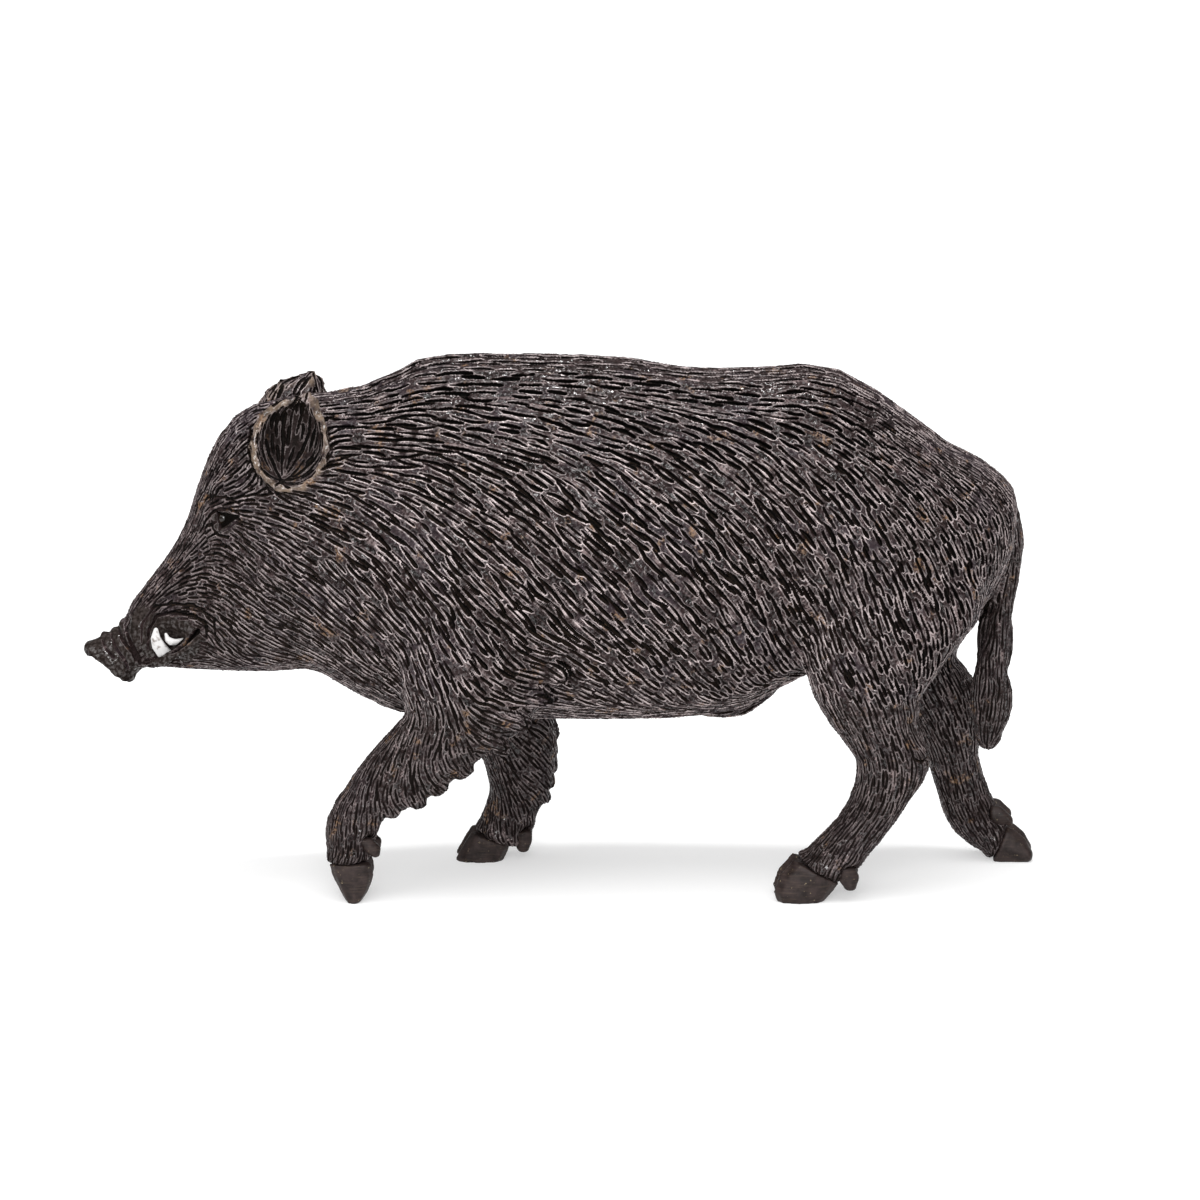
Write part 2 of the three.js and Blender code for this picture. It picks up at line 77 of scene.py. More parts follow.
def ease(value, low, high):
    """0 below low, 1 above high and a smooth rise between them."""
    t = np.clip((value - low) / (high - low), 0, 1)
    return t * t * (3 - 2 * t)


def gathered(values, places, size):
    """The sum of the rows of values that go to each place."""
    if values.ndim == 1:
        return np.bincount(places, values, size)
    return np.stack([np.bincount(places, column, size) for column in values.T], axis=1)


class Shell:
    """A closed surface of quads, as one array of points and one of point numbers."""

    def __init__(self, points, quads):
        self.points, self.quads = points, quads
        self.size = len(points)
        ends = np.stack([quads, np.roll(quads, -1, axis=1)], axis=2).reshape(-1, 2)
        keys = ends.min(axis=1).astype(np.int64) * self.size + ends.max(axis=1)
        keys, self.side_edges = np.unique(keys, return_inverse=True)
        self.side_edges = self.side_edges.reshape(-1, 4)  # the edge from each corner to the next
        self.edges = np.stack([keys // self.size, keys % self.size], axis=1)
        self.both = np.concatenate([self.edges, self.edges[:, ::-1]])

    def face_normals(self):
        """Normals of the quads, twice as long as each quad's area."""
        a, b, c, d = (self.points[self.quads[:, k]] for k in range(4))
        return np.cross(c - a, d - b)

    def normals(self):
        faces = self.face_normals()
        total = sum(gathered(faces, self.quads[:, k], self.size) for k in range(4))
        return unit(total)

    def averaged(self, values, rounds, weights=None, amount=1.0):
        """Values spread to their neighbours over the edges, again and again."""
        here, there = self.both[:, 0], self.both[:, 1]
        weights = np.ones(len(here)) if weights is None else weights
        total = np.maximum(gathered(weights, here, self.size), 1e-9)
        total = total if values.ndim == 1 else total[:, None]
        for _ in range(rounds):
            near = values[there] * (weights if values.ndim == 1 else weights[:, None])
            values = values + amount * (gathered(near, here, self.size) / total - values)
        return values

    def relax(self, rounds, mask=None):
        """Smooths without shrinking: each round pulls in and then pushes out a little more."""
        for _ in range(rounds):
            for amount in RELAXING:
                moved = self.averaged(self.points, 1, amount=amount)
                self.points = moved if mask is None else (
                    self.points + (moved - self.points) * mask[:, None])

    def push(self, distances):
        """Moves every point out along its normal."""
        self.points = self.points + self.normals() * np.asarray(distances)[..., None]

    def halved(self, *values):
        """The Catmull-Clark surface of half the spacing, with point values carried over. Quad k
        becomes quads 4k to 4k + 3, and its own points keep their numbers."""
        points, quads, size, edge_count = self.points, self.quads, self.size, len(self.edges)
        centres = points[quads].mean(axis=1)
        shared = gathered(centres.repeat(4, axis=0), self.side_edges.ravel(), edge_count)
        middles = points[self.edges].mean(axis=1)
        edge_points = (middles * 2 + shared) / 4
        count = gathered(np.ones(quads.size), quads.ravel(), size)[:, None]
        round_faces = gathered(centres.repeat(4, axis=0), quads.ravel(), size) / count
        ring = np.concatenate([middles, middles])
        round_edges = gathered(ring, self.both[:, 0], size) / count
        corners = (round_faces + 2 * round_edges + (count - 3) * points) / count
        around = size + self.side_edges
        middle = size + edge_count + np.arange(len(quads))
        fine = np.stack([np.stack([quads[:, k], around[:, k], middle, around[:, k - 1]], axis=1)
                         for k in range(4)], axis=1).reshape(-1, 4)
        carried = [np.concatenate([v, v[self.edges].mean(axis=1), v[quads].mean(axis=1)])
                   for v in values]
        return Shell(np.concatenate([corners, edge_points, centres]), fine), *carried

    def largest(self):
        """Only the largest connected surface, without bubbles inside it."""
        label = np.arange(self.size)
        while True:
            low = np.minimum(label[self.edges[:, 0]], label[self.edges[:, 1]])
            was = label.copy()
            np.minimum.at(label, self.edges[:, 0], low)
            np.minimum.at(label, self.edges[:, 1], low)
            label = label[label]
            if (label == was).all():
                break
        keep = label == np.bincount(label).argmax()
        number = np.cumsum(keep) - 1
        return Shell(self.points[keep], number[self.quads[keep[self.quads].all(axis=1)]])


def new_object(name, points, faces, scale=1.0):
    """A smooth-shaded mesh object in the scene."""
    mesh = bpy.data.meshes.new(name)
    mesh.from_pydata((np.asarray(points) * scale).tolist(), [], faces)
    mesh.polygons.foreach_set("use_smooth", np.ones(len(faces), dtype=bool))
    piece = bpy.data.objects.new(name, mesh)
    bpy.context.scene.collection.objects.link(piece)
    return piece


def evaluated_arrays(piece):
    """The points and quads of an object with its modifiers, which is then removed."""
    shaped = piece.evaluated_get(bpy.context.evaluated_depsgraph_get()).to_mesh()
    points = np.empty(len(shaped.vertices) * 3)
    shaped.vertices.foreach_get("co", points)
    corners = np.empty(len(shaped.loops), dtype=np.int64)
    shaped.loops.foreach_get("vertex_index", corners)
    bpy.data.objects.remove(piece)
    return points.reshape(-1, 3), corners.reshape(-1, 4)


def voxelled(points, triangles, spacing):
    """Overlapping solids joined into one surface of even quads."""
    piece = new_object("joined", points, triangles.tolist())
    remesh = piece.modifiers.new("even", "REMESH")
    remesh.mode, remesh.voxel_size = "VOXEL", spacing
    return Shell(*evaluated_arrays(piece)).largest()


def packed_solid(node, growth=0.0):
    """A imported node's points in millimetres, moved out by growth, and its triangles."""
    bm = bmesh.new()
    bm.from_mesh(frame["nodes"][node].data)
    bmesh.ops.remove_doubles(bm, verts=bm.verts, dist=1e-7)
    bmesh.ops.triangulate(bm, faces=bm.faces)
    bm.normal_update()
    points = np.array([v.co for v in bm.verts]) / MM
    points += growth * np.array([v.normal for v in bm.verts])
    triangles = np.array([[v.index for v in face.verts] for face in bm.faces])
    bm.free()
    return points, triangles


def tree_of(points):
    """A tree that finds the points near a place."""
    tree = KDTree(len(points))
    for k, p in enumerate(points.tolist()):
        tree.insert(p, k)
    tree.balance()
    return tree


def nearest_in(tree, places):
    """The number of the tree's point that is nearest to each place."""
    return np.array([tree.find(p)[1] for p in places.tolist()])


def ellipsoid(centre, radii):
    """Its points and triangles."""
    bm = bmesh.new()
    bmesh.ops.create_icosphere(bm, subdivisions=3, radius=1)
    points = np.array([v.co for v in bm.verts]) * radii + centre
    triangles = np.array([[v.index for v in face.verts] for face in bm.faces])
    bm.free()
    return points, triangles


# ---- The smooth body ----

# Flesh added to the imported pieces, on both sides: the piece it belongs to, its centre and radii.
FILLINGS = [
    ("head", (-42.2, 5.2, 47.4), (2.5, 1.05, 2.1)),  # lids
    ("snout", (-58.85, 0, 29.5), (0.9, 2.4, 0.9)),  # upper lobe of the nose
    ("snout", (-54.15, 0, 26.35), (0.85, 1.8, 1)),  # lower lobe of the nose
    ("tail_tassel", (53.5, 0, 19), (1.8, 1.1, 2.6)),
    ("tail_tassel", (53.8, 0, 23), (2.75, 1.2, 4.8)),
    ("tail", (54.2, 0, 30.5), (2.35, 1.2, 5.4)),
    ("ear", (-30.5, 7.5, 61.7), (0.8, 0.45, 1.1)),  # corner of the ear
]
# The lower lip, which hides the roots of the tusks: a row of swellings along a line.
LIP = [(-51.6, 3, 28.3), (-50.9, 4.2, 28.5), (-49.8, 5.2, 29), (-48.8, 5.7, 29.7),
       (-47.7, 5.9, 30.4), (-46.5, 6.1, 31.3), (-45.2, 6.3, 32.2)]
LIP_RADII = (0.6, 0.6, 0.6)
LIP_STEPS = 22
knots = np.linspace(0, len(LIP) - 1, LIP_STEPS)
FILLINGS += [("lower_jaw", place, LIP_RADII) for place in
             zip(*(np.interp(knots, range(len(LIP)), column) for column in zip(*LIP)))]


def flesh_solids():
    """The points and triangles of all flesh, and the number of the piece each triangle is from."""
    solids = [(node, *packed_solid(node, GROWTH)) for node in FLESH]
    for owner, centre, radii in FILLINGS:
        for side, sign in SIDES.items():
            node = owner if owner in FLESH else f"{owner}_{side}"
            solids.append((node, *ellipsoid(np.array(centre) * (1, sign, 1),
                                            np.array(radii) + GROWTH)))
    points, triangles, owners = [], [], []
    for node, own_points, own_triangles in solids:
        triangles.append(own_triangles + sum(map(len, points)))
        points.append(own_points)
        owners += [FLESH.index(node)] * len(own_triangles)
    return np.concatenate(points), np.concatenate(triangles), owners


points, triangles, owners = flesh_solids()
body = voxelled(points, triangles, VOXEL)
find_nearest = BVHTree.FromPolygons(points.tolist(), triangles.tolist()).find_nearest
part = np.array([owners[find_nearest(p)[2]] for p in body.points.tolist()])


def of(*nodes):
    """True at the body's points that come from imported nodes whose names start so."""
    return np.isin(part, [k for k, n in enumerate(FLESH) if n.startswith(nodes)])


# Joints between the pieces are smoothed away, least on the ears and jaw, most on the trunk.
SMOOTHING, BROAD_SMOOTHING = 25, 70
DELICATE = 0.75
delicate = body.averaged(of("ear", "lower_jaw").astype(float), 6)
body.relax(SMOOTHING, mask=1 - DELICATE * delicate)
broad = body.averaged(of("trunk", "neck", "hindquarters").astype(float), 25)
body.relax(BROAD_SMOOTHING, mask=ease(broad, 0.3, 1.0))
body.push(np.full(body.size, -GROWTH))

# Low swellings and hollows under the hide, on both sides: centre, radii and height.
FORMS = {
    "brow": ((-43.4, 6, 51.2), (2.6, 3, 1.7), 0.55),
    "eye_socket": ((-42.4, 7, 47.2), (2.2, 2.6, 1.5), -0.35),
    "eyelid": ((-42.8, 7, 48.7), (1.9, 2.4, 0.9), 0.35),
    "nose_dish": ((-57.4, 0, 27.5), (2.5, 5, 2.2), -1.1),
    "nostril": ((-57.2, 1.4, 27.8), (0.95, 0.85, 0.95), -1),
    "nose_knob_1": ((-57.2, 0, 31.1), (0.6, 2.2, 0.7), 0.4),
    "nose_knob_2": ((-56, 0, 31.9), (0.55, 2.4, 0.7), 0.35),
    "nose_knob_3": ((-54.9, 0, 32.7), (0.5, 2.6, 0.7), 0.35),
    "cheek": ((-35, 11, 40), (6, 5, 7), 0.6),
    "muzzle_hollow": ((-45.5, 7, 40.5), (3.6, 4, 2.6), -0.45),
    "lip_swell": ((-46.2, 6.5, 34.9), (2.6, 3, 1.2), 0.35),
    "shoulder": ((-11.5, 15, 44), (7, 6, 11), 0.55),
    "behind_shoulder": ((-1, 16, 38), (4.5, 6, 11), -0.5),
    "flank_hollow": ((27, 15, 38), (3.2, 6, 9), -0.7),
    "haunch": ((41.5, 14, 46), (9, 6, 9), 0.35),
}


def bell(points, centre, radii):
    """1 at the centre of an ellipsoid, falling smoothly to 0 at its surface, on both sides."""
    mirrored = points * (1, 0, 1) + np.abs(points) * (0, 1, 0)
    reach = lengths((mirrored - centre) / radii)
    return np.clip(1 - reach ** 2, 0, 1) ** 2


body.push(sum(height * bell(body.points, centre, radii)
              for centre, radii, height in FORMS.values()))

# Locks that stand out from the hide: a place in side view, the lock's direction in degrees, its
# length, width and height. Each rises towards its tip and ends there in a step.
LOCKS = {
    "left": [
        (-1.6, 29.6, -8, 4.6, 2.9, 1.1), (-4.4, 26.6, -10, 5, 2.8, 1.3),
        (-7, 23.8, -16, 4.8, 2.7, 1.4), (-9.2, 21, -26, 4.4, 2.5, 1.3),
        (-12.6, 16.8, -46, 3, 2.6, 0.6), (-15.6, 14.6, -50, 2.8, 2.4, 0.5),
        (-18.2, 13, -54, 2.4, 2, 0.6), (-21, 11.1, -62, 2.2, 1.6, 0.5),
        (44.2, 19.6, -66, 2.8, 1.8, 0.5),
    ],
    "right": [
        (-1.2, 20.4, -30, 3, 3, 0.3), (-1, 17, -34, 2.6, 2.4, 0.4),
        (-1, 14.6, -34, 2.4, 2, 0.3), (-1.2, 12.4, -36, 2.2, 2.2, 0.4),
        (-1.6, 10.2, -40, 2, 1.8, 0.4), (-2.4, 8.2, -46, 1.8, 1.5, 0.5),
        (53.2, 18.6, -80, 2.6, 1.8, 0.6),
    ],
}
LOCK_START, LOCK_END = (-1, 0.6), (0.75, 1.15)  # rise and step, in half lengths
LOCK_SIDE = (0.55, 1.1)  # fall to the sides, in half widths
LOCK_OUT, LOCK_ALONG = 0.8, 0.6
LOCK_FACING = (-0.75, 0.2)  # no lock grows on hide that faces inwards
MIDDLE = 3.0  # nor within this distance of the middle


def raise_locks():
    """Pushes every lock out of the body."""
    out = body.normals()
    for side, locks in LOCKS.items():
        on_side = body.points[:, 1] * SIDES[side] > MIDDLE
        outer = ease(out[:, 1] * SIDES[side], *LOCK_FACING)
        for x, z, angle, length, width, height in locks:
            tip = np.array([math.cos(math.radians(angle)), 0, math.sin(math.radians(angle))])
            offset = (body.points - (x, 0, z)) * (1, 0, 1)
            forward = offset @ tip
            across = lengths(offset - forward[:, None] * tip) / (width / 2)
            forward /= length / 2
            rise = ease(forward, *LOCK_START) * (1 - ease(forward, *LOCK_END))
            rise *= (1 - ease(across, *LOCK_SIDE)) * height * on_side * outer
            body.points = body.points + (LOCK_OUT * out + LOCK_ALONG * tip) * rise[:, None]


raise_locks()

# The hide stands a little proud round the roots of the hooves.
CUFF = 0.35
CUFF_REACH = (0.5, 1.9)
CLAWS = [node for node in frame["nodes"] if "claw" in node]
FAR = 9.0
claw_tree = tree_of(np.concatenate([packed_solid(node)[0] for node in CLAWS]))
to_claw = np.full(body.size, FAR)
for k in np.flatnonzero(of(*LEGS)).tolist():
    to_claw[k] = claw_tree.find(body.points[k])[2]
body.push(CUFF * (1 - ease(to_claw, *CUFF_REACH)))

# ---- The lie of the hair ----

# At a place in side view, the hair's direction in degrees above +X, the distance between its
# grooves and their length.
LIE = {
    "body": [
        (-53.5, 34, 55, 0.58, 1.4), (-51, 38.2, 48, 0.58, 1.4), (-48.6, 41.8, 54, 0.58, 1.5),
        (-46, 47.5, 62, 0.58, 1.5), (-44.6, 52.5, 66, 0.64, 1.5), (-41.8, 57.2, 52, 0.66, 1.6),
        (-38.5, 60.4, 32, 0.68, 1.7), (-33.5, 62, 8, 0.68, 2),
        (-50.6, 34.2, 52, 0.52, 1.4), (-49.2, 36, 24, 0.56, 1.6), (-46.8, 38.2, 16, 0.58, 1.8),
        (-46.6, 35.6, 0, 0.52, 1.5), (-44.4, 34.8, -35, 0.52, 1.5), (-43.4, 32.2, -66, 0.58, 1.8),
        (-46, 29.5, 25, 0.58, 1.2), (-41, 30.5, -48, 0.62, 2), (-36.5, 29, -26, 0.68, 2),
        (-31, 27.6, -22, 0.68, 2.2), (-45, 43.5, 32, 0.58, 1.7), (-42.6, 43, -8, 0.6, 1.8),
        (-40.2, 44.6, -36, 0.62, 1.9), (-43.8, 39, -12, 0.62, 2), (-40.5, 38.5, -30, 0.66, 2.2),
        (-36, 41.5, -34, 0.64, 2.4), (-35, 35, -34, 0.66, 2.5), (-40, 34, -34, 0.66, 2.2),
        (-44.4, 49.4, 48, 0.58, 1.5), (-41.6, 50.6, 12, 0.6, 1.7), (-38.6, 48.6, -10, 0.64, 1.9),
        (-39, 53, 32, 0.66, 1.7), (-38, 57, 44, 0.68, 1.8), (-34, 49.5, -14, 0.66, 2.2),
        (-33.5, 44.5, -34, 0.68, 2.6), (-29.5, 51.5, -18, 0.74, 3.6), (-28.5, 40, -44, 0.74, 3.8),
        (-28, 32, -42, 0.74, 3), (-27, 60.5, -3, 0.82, 3.7), (-26.5, 56.5, -12, 0.76, 4.2),
        (-24, 48, -32, 0.8, 4.4), (-20, 64.6, 10, 1.15, 3.6), (-20, 58, -12, 0.78, 4.2),
        (-22.5, 38, -48, 0.8, 4), (-23, 26.5, -38, 0.76, 2.4), (-19, 30, -58, 0.78, 2.8),
        (-16.5, 43.5, -46, 0.84, 4.2), (-15.5, 34, -60, 0.8, 3.2), (-15, 26, -72, 0.76, 2.8),
        (-11.5, 65.5, -2, 1.15, 3.6), (-11.5, 59, -18, 0.9, 3.9), (-11.5, 51, -36, 0.86, 4.2),
        (-8, 40, -48, 0.9, 4.2), (-8, 32, -52, 0.86, 3.2), (-5, 25.5, -35, 0.8, 2.6),
        (0, 66.5, -3, 1.15, 3.6), (0, 60, -20, 0.94, 3.7), (0, 51, -40, 0.9, 4.2),
        (0, 38.5, -50, 0.92, 4.2), (0, 29.5, -42, 0.9, 3), (10, 66, -4, 1.15, 3.6),
        (11, 60.5, -24, 0.94, 3.6), (11, 51, -42, 0.92, 4), (11, 38.5, -50, 0.94, 4.1),
        (11, 29, -54, 0.86, 2.6), (20, 64, -12, 1.15, 3.6), (20, 54, -40, 0.92, 3.8),
        (20, 43.5, -50, 0.94, 3.9), (21, 35, -58, 0.92, 3.6), (18, 29, -58, 0.84, 2.6),
        (4, 21.6, -4, 0.8, 3.2), (14, 21.6, 4, 0.8, 3.4), (23.5, 23.6, 24, 0.8, 3.2),
        (5, 25.4, -50, 0.84, 2.4), (14, 25.2, -58, 0.82, 2.2), (22, 27.2, -62, 0.8, 2.2),
        (27, 31.5, -62, 0.8, 2.4),
        (28.5, 64, -12, 1.15, 3.6), (28.5, 54, -44, 0.9, 3.6), (27.5, 45.5, -56, 0.9, 3.6),
        (27, 37.5, -63, 0.84, 3.4), (36, 63.5, -28, 1.15, 3.6), (37, 56.5, -42, 0.82, 2.5),
        (37, 48.5, -60, 0.85, 2.5), (37, 38.5, -68, 0.82, 2.5), (46, 57, -36, 0.74, 2),
        (46, 48.5, -58, 0.82, 2), (46, 38.5, -70, 0.8, 2), (53, 51.5, -48, 0.7, 1.8),
        (54.5, 44, -76, 0.72, 1.8), (33, 32, -62, 0.76, 2), (40, 29, -66, 0.76, 2),
        (47, 30, -76, 0.74, 1.9),
    ],
    "foreleg_left": [
        (-15.2, 20.7, -112, 0.66, 2.3), (-20.5, 16.5, -110, 0.63, 2.2),
        (-25, 11, -98, 0.57, 2), (-26.5, 5, -92, 0.52, 1.6),
        (-11.5, 19.5, -70, 0.63, 2), (-17.5, 13, -84, 0.59, 1.8),
    ],
    "foreleg_right": [
        (-12.5, 16, -84, 0.7, 2.3), (-7.5, 14, -66, 0.66, 2.2), (-2, 17, -30, 0.66, 2.2),
        (-2, 11, -36, 0.63, 2), (-8, 7, -76, 0.57, 1.8), (-9, 3.5, -96, 0.52, 1.6),
    ],
    "hindleg_left": [
        (38.5, 24, -68, 0.7, 2.2), (38, 18, -76, 0.64, 2.1), (44.5, 20, -58, 0.64, 2.1),
        (42, 15, -104, 0.63, 2), (37, 10, -126, 0.57, 1.9), (33, 6, -118, 0.52, 1.6),
    ],
    "hindleg_right": [
        (46.5, 24, -66, 0.7, 2.2), (50, 16, -72, 0.64, 2.1), (51, 10, -76, 0.59, 2),
        (54, 5, -60, 0.52, 1.6),
    ],
    "tail": [
        (56, 46, -78, 0.59, 2.3), (55.5, 36, -90, 0.57, 2.9), (54.5, 27, -93, 0.59, 3.1),
        (53, 19, -100, 0.57, 2.7),
    ],
}
EAR_ROOT = (-34.2, 9.5, 53.9)  # the hair fans out from here over both faces of an ear
EAR_HAIR, SNOUT_HAIR, LOCK_HAIR = (0.8, 3), (0.5, 1), (0.66, 2.6)
EVEN = 1.5  # square of the distance within which guides share a place evenly


def laid_by(guides, points):
    """Direction, spacing and length at points, each guide counting the more the nearer it is."""
    x, z, angle, spacing, length = np.array(guides, dtype=float).T
    away = (points[:, :1] - x) ** 2 + (points[:, 2:] - z) ** 2
    share = 1 / (away + EVEN) ** 2
    share /= share.sum(axis=1, keepdims=True)
    turn = np.radians(angle)
    known = np.stack([np.cos(turn), 0 * x, np.sin(turn), spacing, length], axis=1)
    return share @ known


# The hair on a lock lies along it.
ELBOW_HEIGHT = 20
for x, z, angle, *_ in LOCKS["left"]:
    region = "body" if z > ELBOW_HEIGHT else "foreleg_left" if x < 0 else "hindleg_left"
    LIE[region].append((x, z, angle, *LOCK_HAIR))

hair = laid_by(LIE["body"], body.points)
for region in LEGS + ["tail"]:
    own = of(region)
    hair[own] = laid_by(LIE[region] + (LIE["body"] if region in LEGS else []), body.points[own])
for side, sign in SIDES.items():
    own = of(f"ear_{side}")
    hair[own, :3] = body.points[own] - np.array(EAR_ROOT) * (1, sign, 1)
    hair[own, 3:] = EAR_HAIR
hair[of("snout"), 3:] = SNOUT_HAIR


def laid_flat(directions, normals):
    """Directions turned to lie in the surface."""
    return unit(directions - (directions * normals).sum(axis=1, keepdims=True) * normals)


def sunk(rounds):
    """How far every point lies below the hide around it."""
    return ((body.averaged(body.points, rounds) - body.points) * out).sum(axis=1)


COMBING = 6  # rounds in which the hair takes on its neighbours' direction
out = body.normals()
flow = laid_flat(unit(hair[:, :3]), out)
for _ in range(COMBING):
    flow = laid_flat(body.averaged(flow, 4), out)
measure = body.averaged(hair[:, 3:], 12)  # the grooves' spacing and length
hollow = sunk(60)
ear_rim = body.averaged(of("ear") * ease(-sunk(16), 0.08, 0.2), 2)
ear_inside = of("ear") * ease(hollow, -0.1, 0.4)

# Bare places, on both sides: centre and radii.
BARE = {
    "lips": ((-49.2, 6, 31.4), (6.6, 6, 5)),
    "muzzle": ((-52.2, 4, 32.8), (2.8, 5, 4.6)),
    "eye": ((-41.6, 6.8, 47.2), (2.6, 3, 2.1)),
}
bare = body.averaged(of("snout").astype(float), 4)
for centre, radii in BARE.values():
    bare = np.maximum(bare, ease(bell(body.points, centre, radii), 0.12, 0.3))

# ---- Grooves ----

ROUNDS, TRIES = 5, 40000
ACROSS, ALONG = 0.76, 0.84  # the least distance between two grooves, in spacings and in lengths
STEP = 0.3  # between two samples along a groove
LEVEL = 1.0  # grooves that are further above each other lie on the two faces of an ear


def rivals(places, others, out, along, gaps):
    """The pairs of a place and another that is too near to it."""
    find = tree_of(others).find_range
    hits = [[hit[1] for hit in find(p, reach)]
            for p, reach in zip(places.tolist(), gaps[:, 1].tolist())]
    here = np.repeat(np.arange(len(places)), [len(h) for h in hits])
    there = np.array([k for h in hits for k in h], dtype=int)
    offset = others[there] - places[here]
    forward = (offset * along[here]).sum(axis=1)
    sideways = (offset ** 2).sum(axis=1) - forward ** 2
    level = np.abs((offset * out[here]).sum(axis=1)) < LEVEL
    close = (forward / gaps[here, 1]) ** 2 + sideways / gaps[here, 0] ** 2 < 1
    return here[close & level], there[close & level]


def scattered(shell, out, flow, measure, haired):
    """Random places for grooves that keep their distance, and the vertex nearest to each."""
    quads, first = shell.quads, shell.quads[:, 0]
    share = lengths(shell.face_normals()) * haired[first] / measure[first].prod(axis=1)
    places, vertices = np.empty((0, 3)), np.empty(0, dtype=int)
    for _ in range(ROUNDS):
        chosen = rng.choice(len(quads), TRIES, p=share / share.sum())
        u, v = rng.random((2, TRIES, 1))
        a, b, c, d = (shell.points[quads[chosen, k]] for k in range(4))
        tries = (a * (1 - u) + b * u) * (1 - v) + (d * (1 - u) + c * u) * v
        vertex = first[chosen]
        gaps = measure * (ACROSS, ALONG)
        if len(places):
            free = np.ones(TRIES, dtype=bool)
            free[rivals(tries, places, out[vertex], flow[vertex], gaps[vertex])[0]] = False
            tries, vertex = tries[free], vertex[free]
        # Of two rivals among the tries, the earlier one wins.
        here, there = rivals(tries, tries, out[vertex], flow[vertex], gaps[vertex])
        here, there = here[there < here], there[there < here]
        taken, undecided = np.zeros(len(tries), dtype=bool), np.ones(len(tries), dtype=bool)
        while undecided.any():
            undecided[here[taken[there]]] = False
            waiting = np.zeros(len(tries), dtype=bool)
            waiting[here[undecided[there]]] = True
            won = undecided & ~waiting
            taken |= won
            undecided &= ~won
        places = np.concatenate([places, tries[taken]])
        vertices = np.append(vertices, vertex[taken])
    return places, vertices


rng = np.random.default_rng(SEED)
haired = (bare < 0.5) & (ear_rim < 0.5)
starts, start_vertex = scattered(body, out, flow, measure, haired)
count = len(starts)
SLENDER = 0.8  # grooves of legs and tail against those of the body
HALF_LENGTH, HALF_WIDTH, DEPTH = 0.5, 0.25, 0.56  # against the hair's length and spacing
DEEPEST = 0.62
slender = np.where(of(*LEGS, "tail")[start_vertex], SLENDER, 1.0)
spacing, length = measure[start_vertex].T
half_length = HALF_LENGTH * length * rng.uniform(0.7, 1.35, count)
half_width = HALF_WIDTH * slender * spacing * rng.uniform(0.7, 1.2, count)
groove_depth = np.minimum(DEPTH * slender * spacing, DEEPEST) * rng.uniform(0.8, 1.1, count)
turn = rng.normal(0, math.radians(3.5), count)
bend = rng.normal(0, math.radians(4.5), count)
body_tree = tree_of(body.points)


def traced(steps=14):
    """Samples along the grooves, both ways from their starts: their places, the directions out of
    the hide and along the groove, their share of the way to its end, and its number."""
    samples = [(starts, out[start_vertex], flow[start_vertex], np.zeros(count), np.arange(count))]
    for way in (1, -1):
        place, vertex, alive = starts.copy(), start_vertex.copy(), np.arange(count)
        for k in range(1, steps):
            alive = alive[(k * STEP <= half_length[alive]) & haired[vertex[alive]]]
            if not len(alive):
                break
            at = vertex[alive]
            angle = turn[alive] + bend[alive] * k * STEP * way
            side = np.cross(out[at], flow[at])
            heading = unit(flow[at] * np.cos(angle)[:, None] + side * np.sin(angle)[:, None])
            moved = place[alive] + way * STEP * heading
            vertex[alive] = at = nearest_in(body_tree, moved)
            above = ((moved - body.points[at]) * out[at]).sum(axis=1, keepdims=True)
            place[alive] = moved = moved - above * out[at]
            samples.append((moved, out[at], heading, way * k * STEP / half_length[alive], alive))
    return samples


samples = traced()

# Lines drawn on both sides of the head: points in side view, half width and depth.
LINES = {
    "mouth": ([(-48.7, 30.3), (-48.2, 30.6), (-46.6, 31.9), (-45, 33.3)], 0.42, 1.2),
    "mouth_crease": ([(-52, 28.6), (-50.4, 29.6), (-48.6, 30.8)], 0.2, 0.5),
    "lip_fold_above": ([(-51.6, 30.2), (-51.5, 32.6), (-50.4, 34.6), (-48.4, 35.2), (-45.8, 35.1),
                        (-44.2, 34), (-44.1, 32)], 0.2, 0.45),
    "lip_fold_outer": ([(-52.4, 31), (-52.3, 33.4), (-50.8, 35.7), (-48.2, 36.3), (-45.4, 36.2),
                        (-43.2, 34.8), (-43, 32.4)], 0.16, 0.3),
    "nose_wrinkle_1": ([(-55.4, 32.2), (-54.9, 31.2), (-53.5, 29.7), (-53.1, 28.4)], 0.24, 0.5),
    "nose_wrinkle_2": ([(-54.6, 32.9), (-54, 31.4), (-52.8, 29), (-52.7, 27.8)], 0.24, 0.5),
    "nose_wrinkle_3": ([(-56.4, 31.6), (-55.7, 30.3), (-54.5, 28.6), (-54.1, 27.4)], 0.16, 0.3),
    "nose_wrinkle_4": ([(-57.5, 30.9), (-56.8, 29.9), (-55.8, 28.9)], 0.14, 0.25),
    "upper_lid": ([(-43.3, 48.3), (-42.2, 48.8), (-40.8, 48.7), (-39.5, 48.2)], 0.12, 0.3),
    "brow_fold": ([(-44.8, 49), (-43.2, 50), (-41.4, 50.1), (-39.4, 49.4)], 0.13, 0.3),
    "lower_lid_1": ([(-42, 45.9), (-41, 46.6), (-40, 47.5)], 0.11, 0.3),
    "lower_lid_2": ([(-43.4, 47.2), (-43.2, 46), (-42.2, 45.3), (-41, 45.5)], 0.12, 0.25),
    "ear_cleft": ([(-38.6, 58.4), (-38.6, 56), (-38, 54), (-36.8, 52.6)], 0.34, 0.9),
}
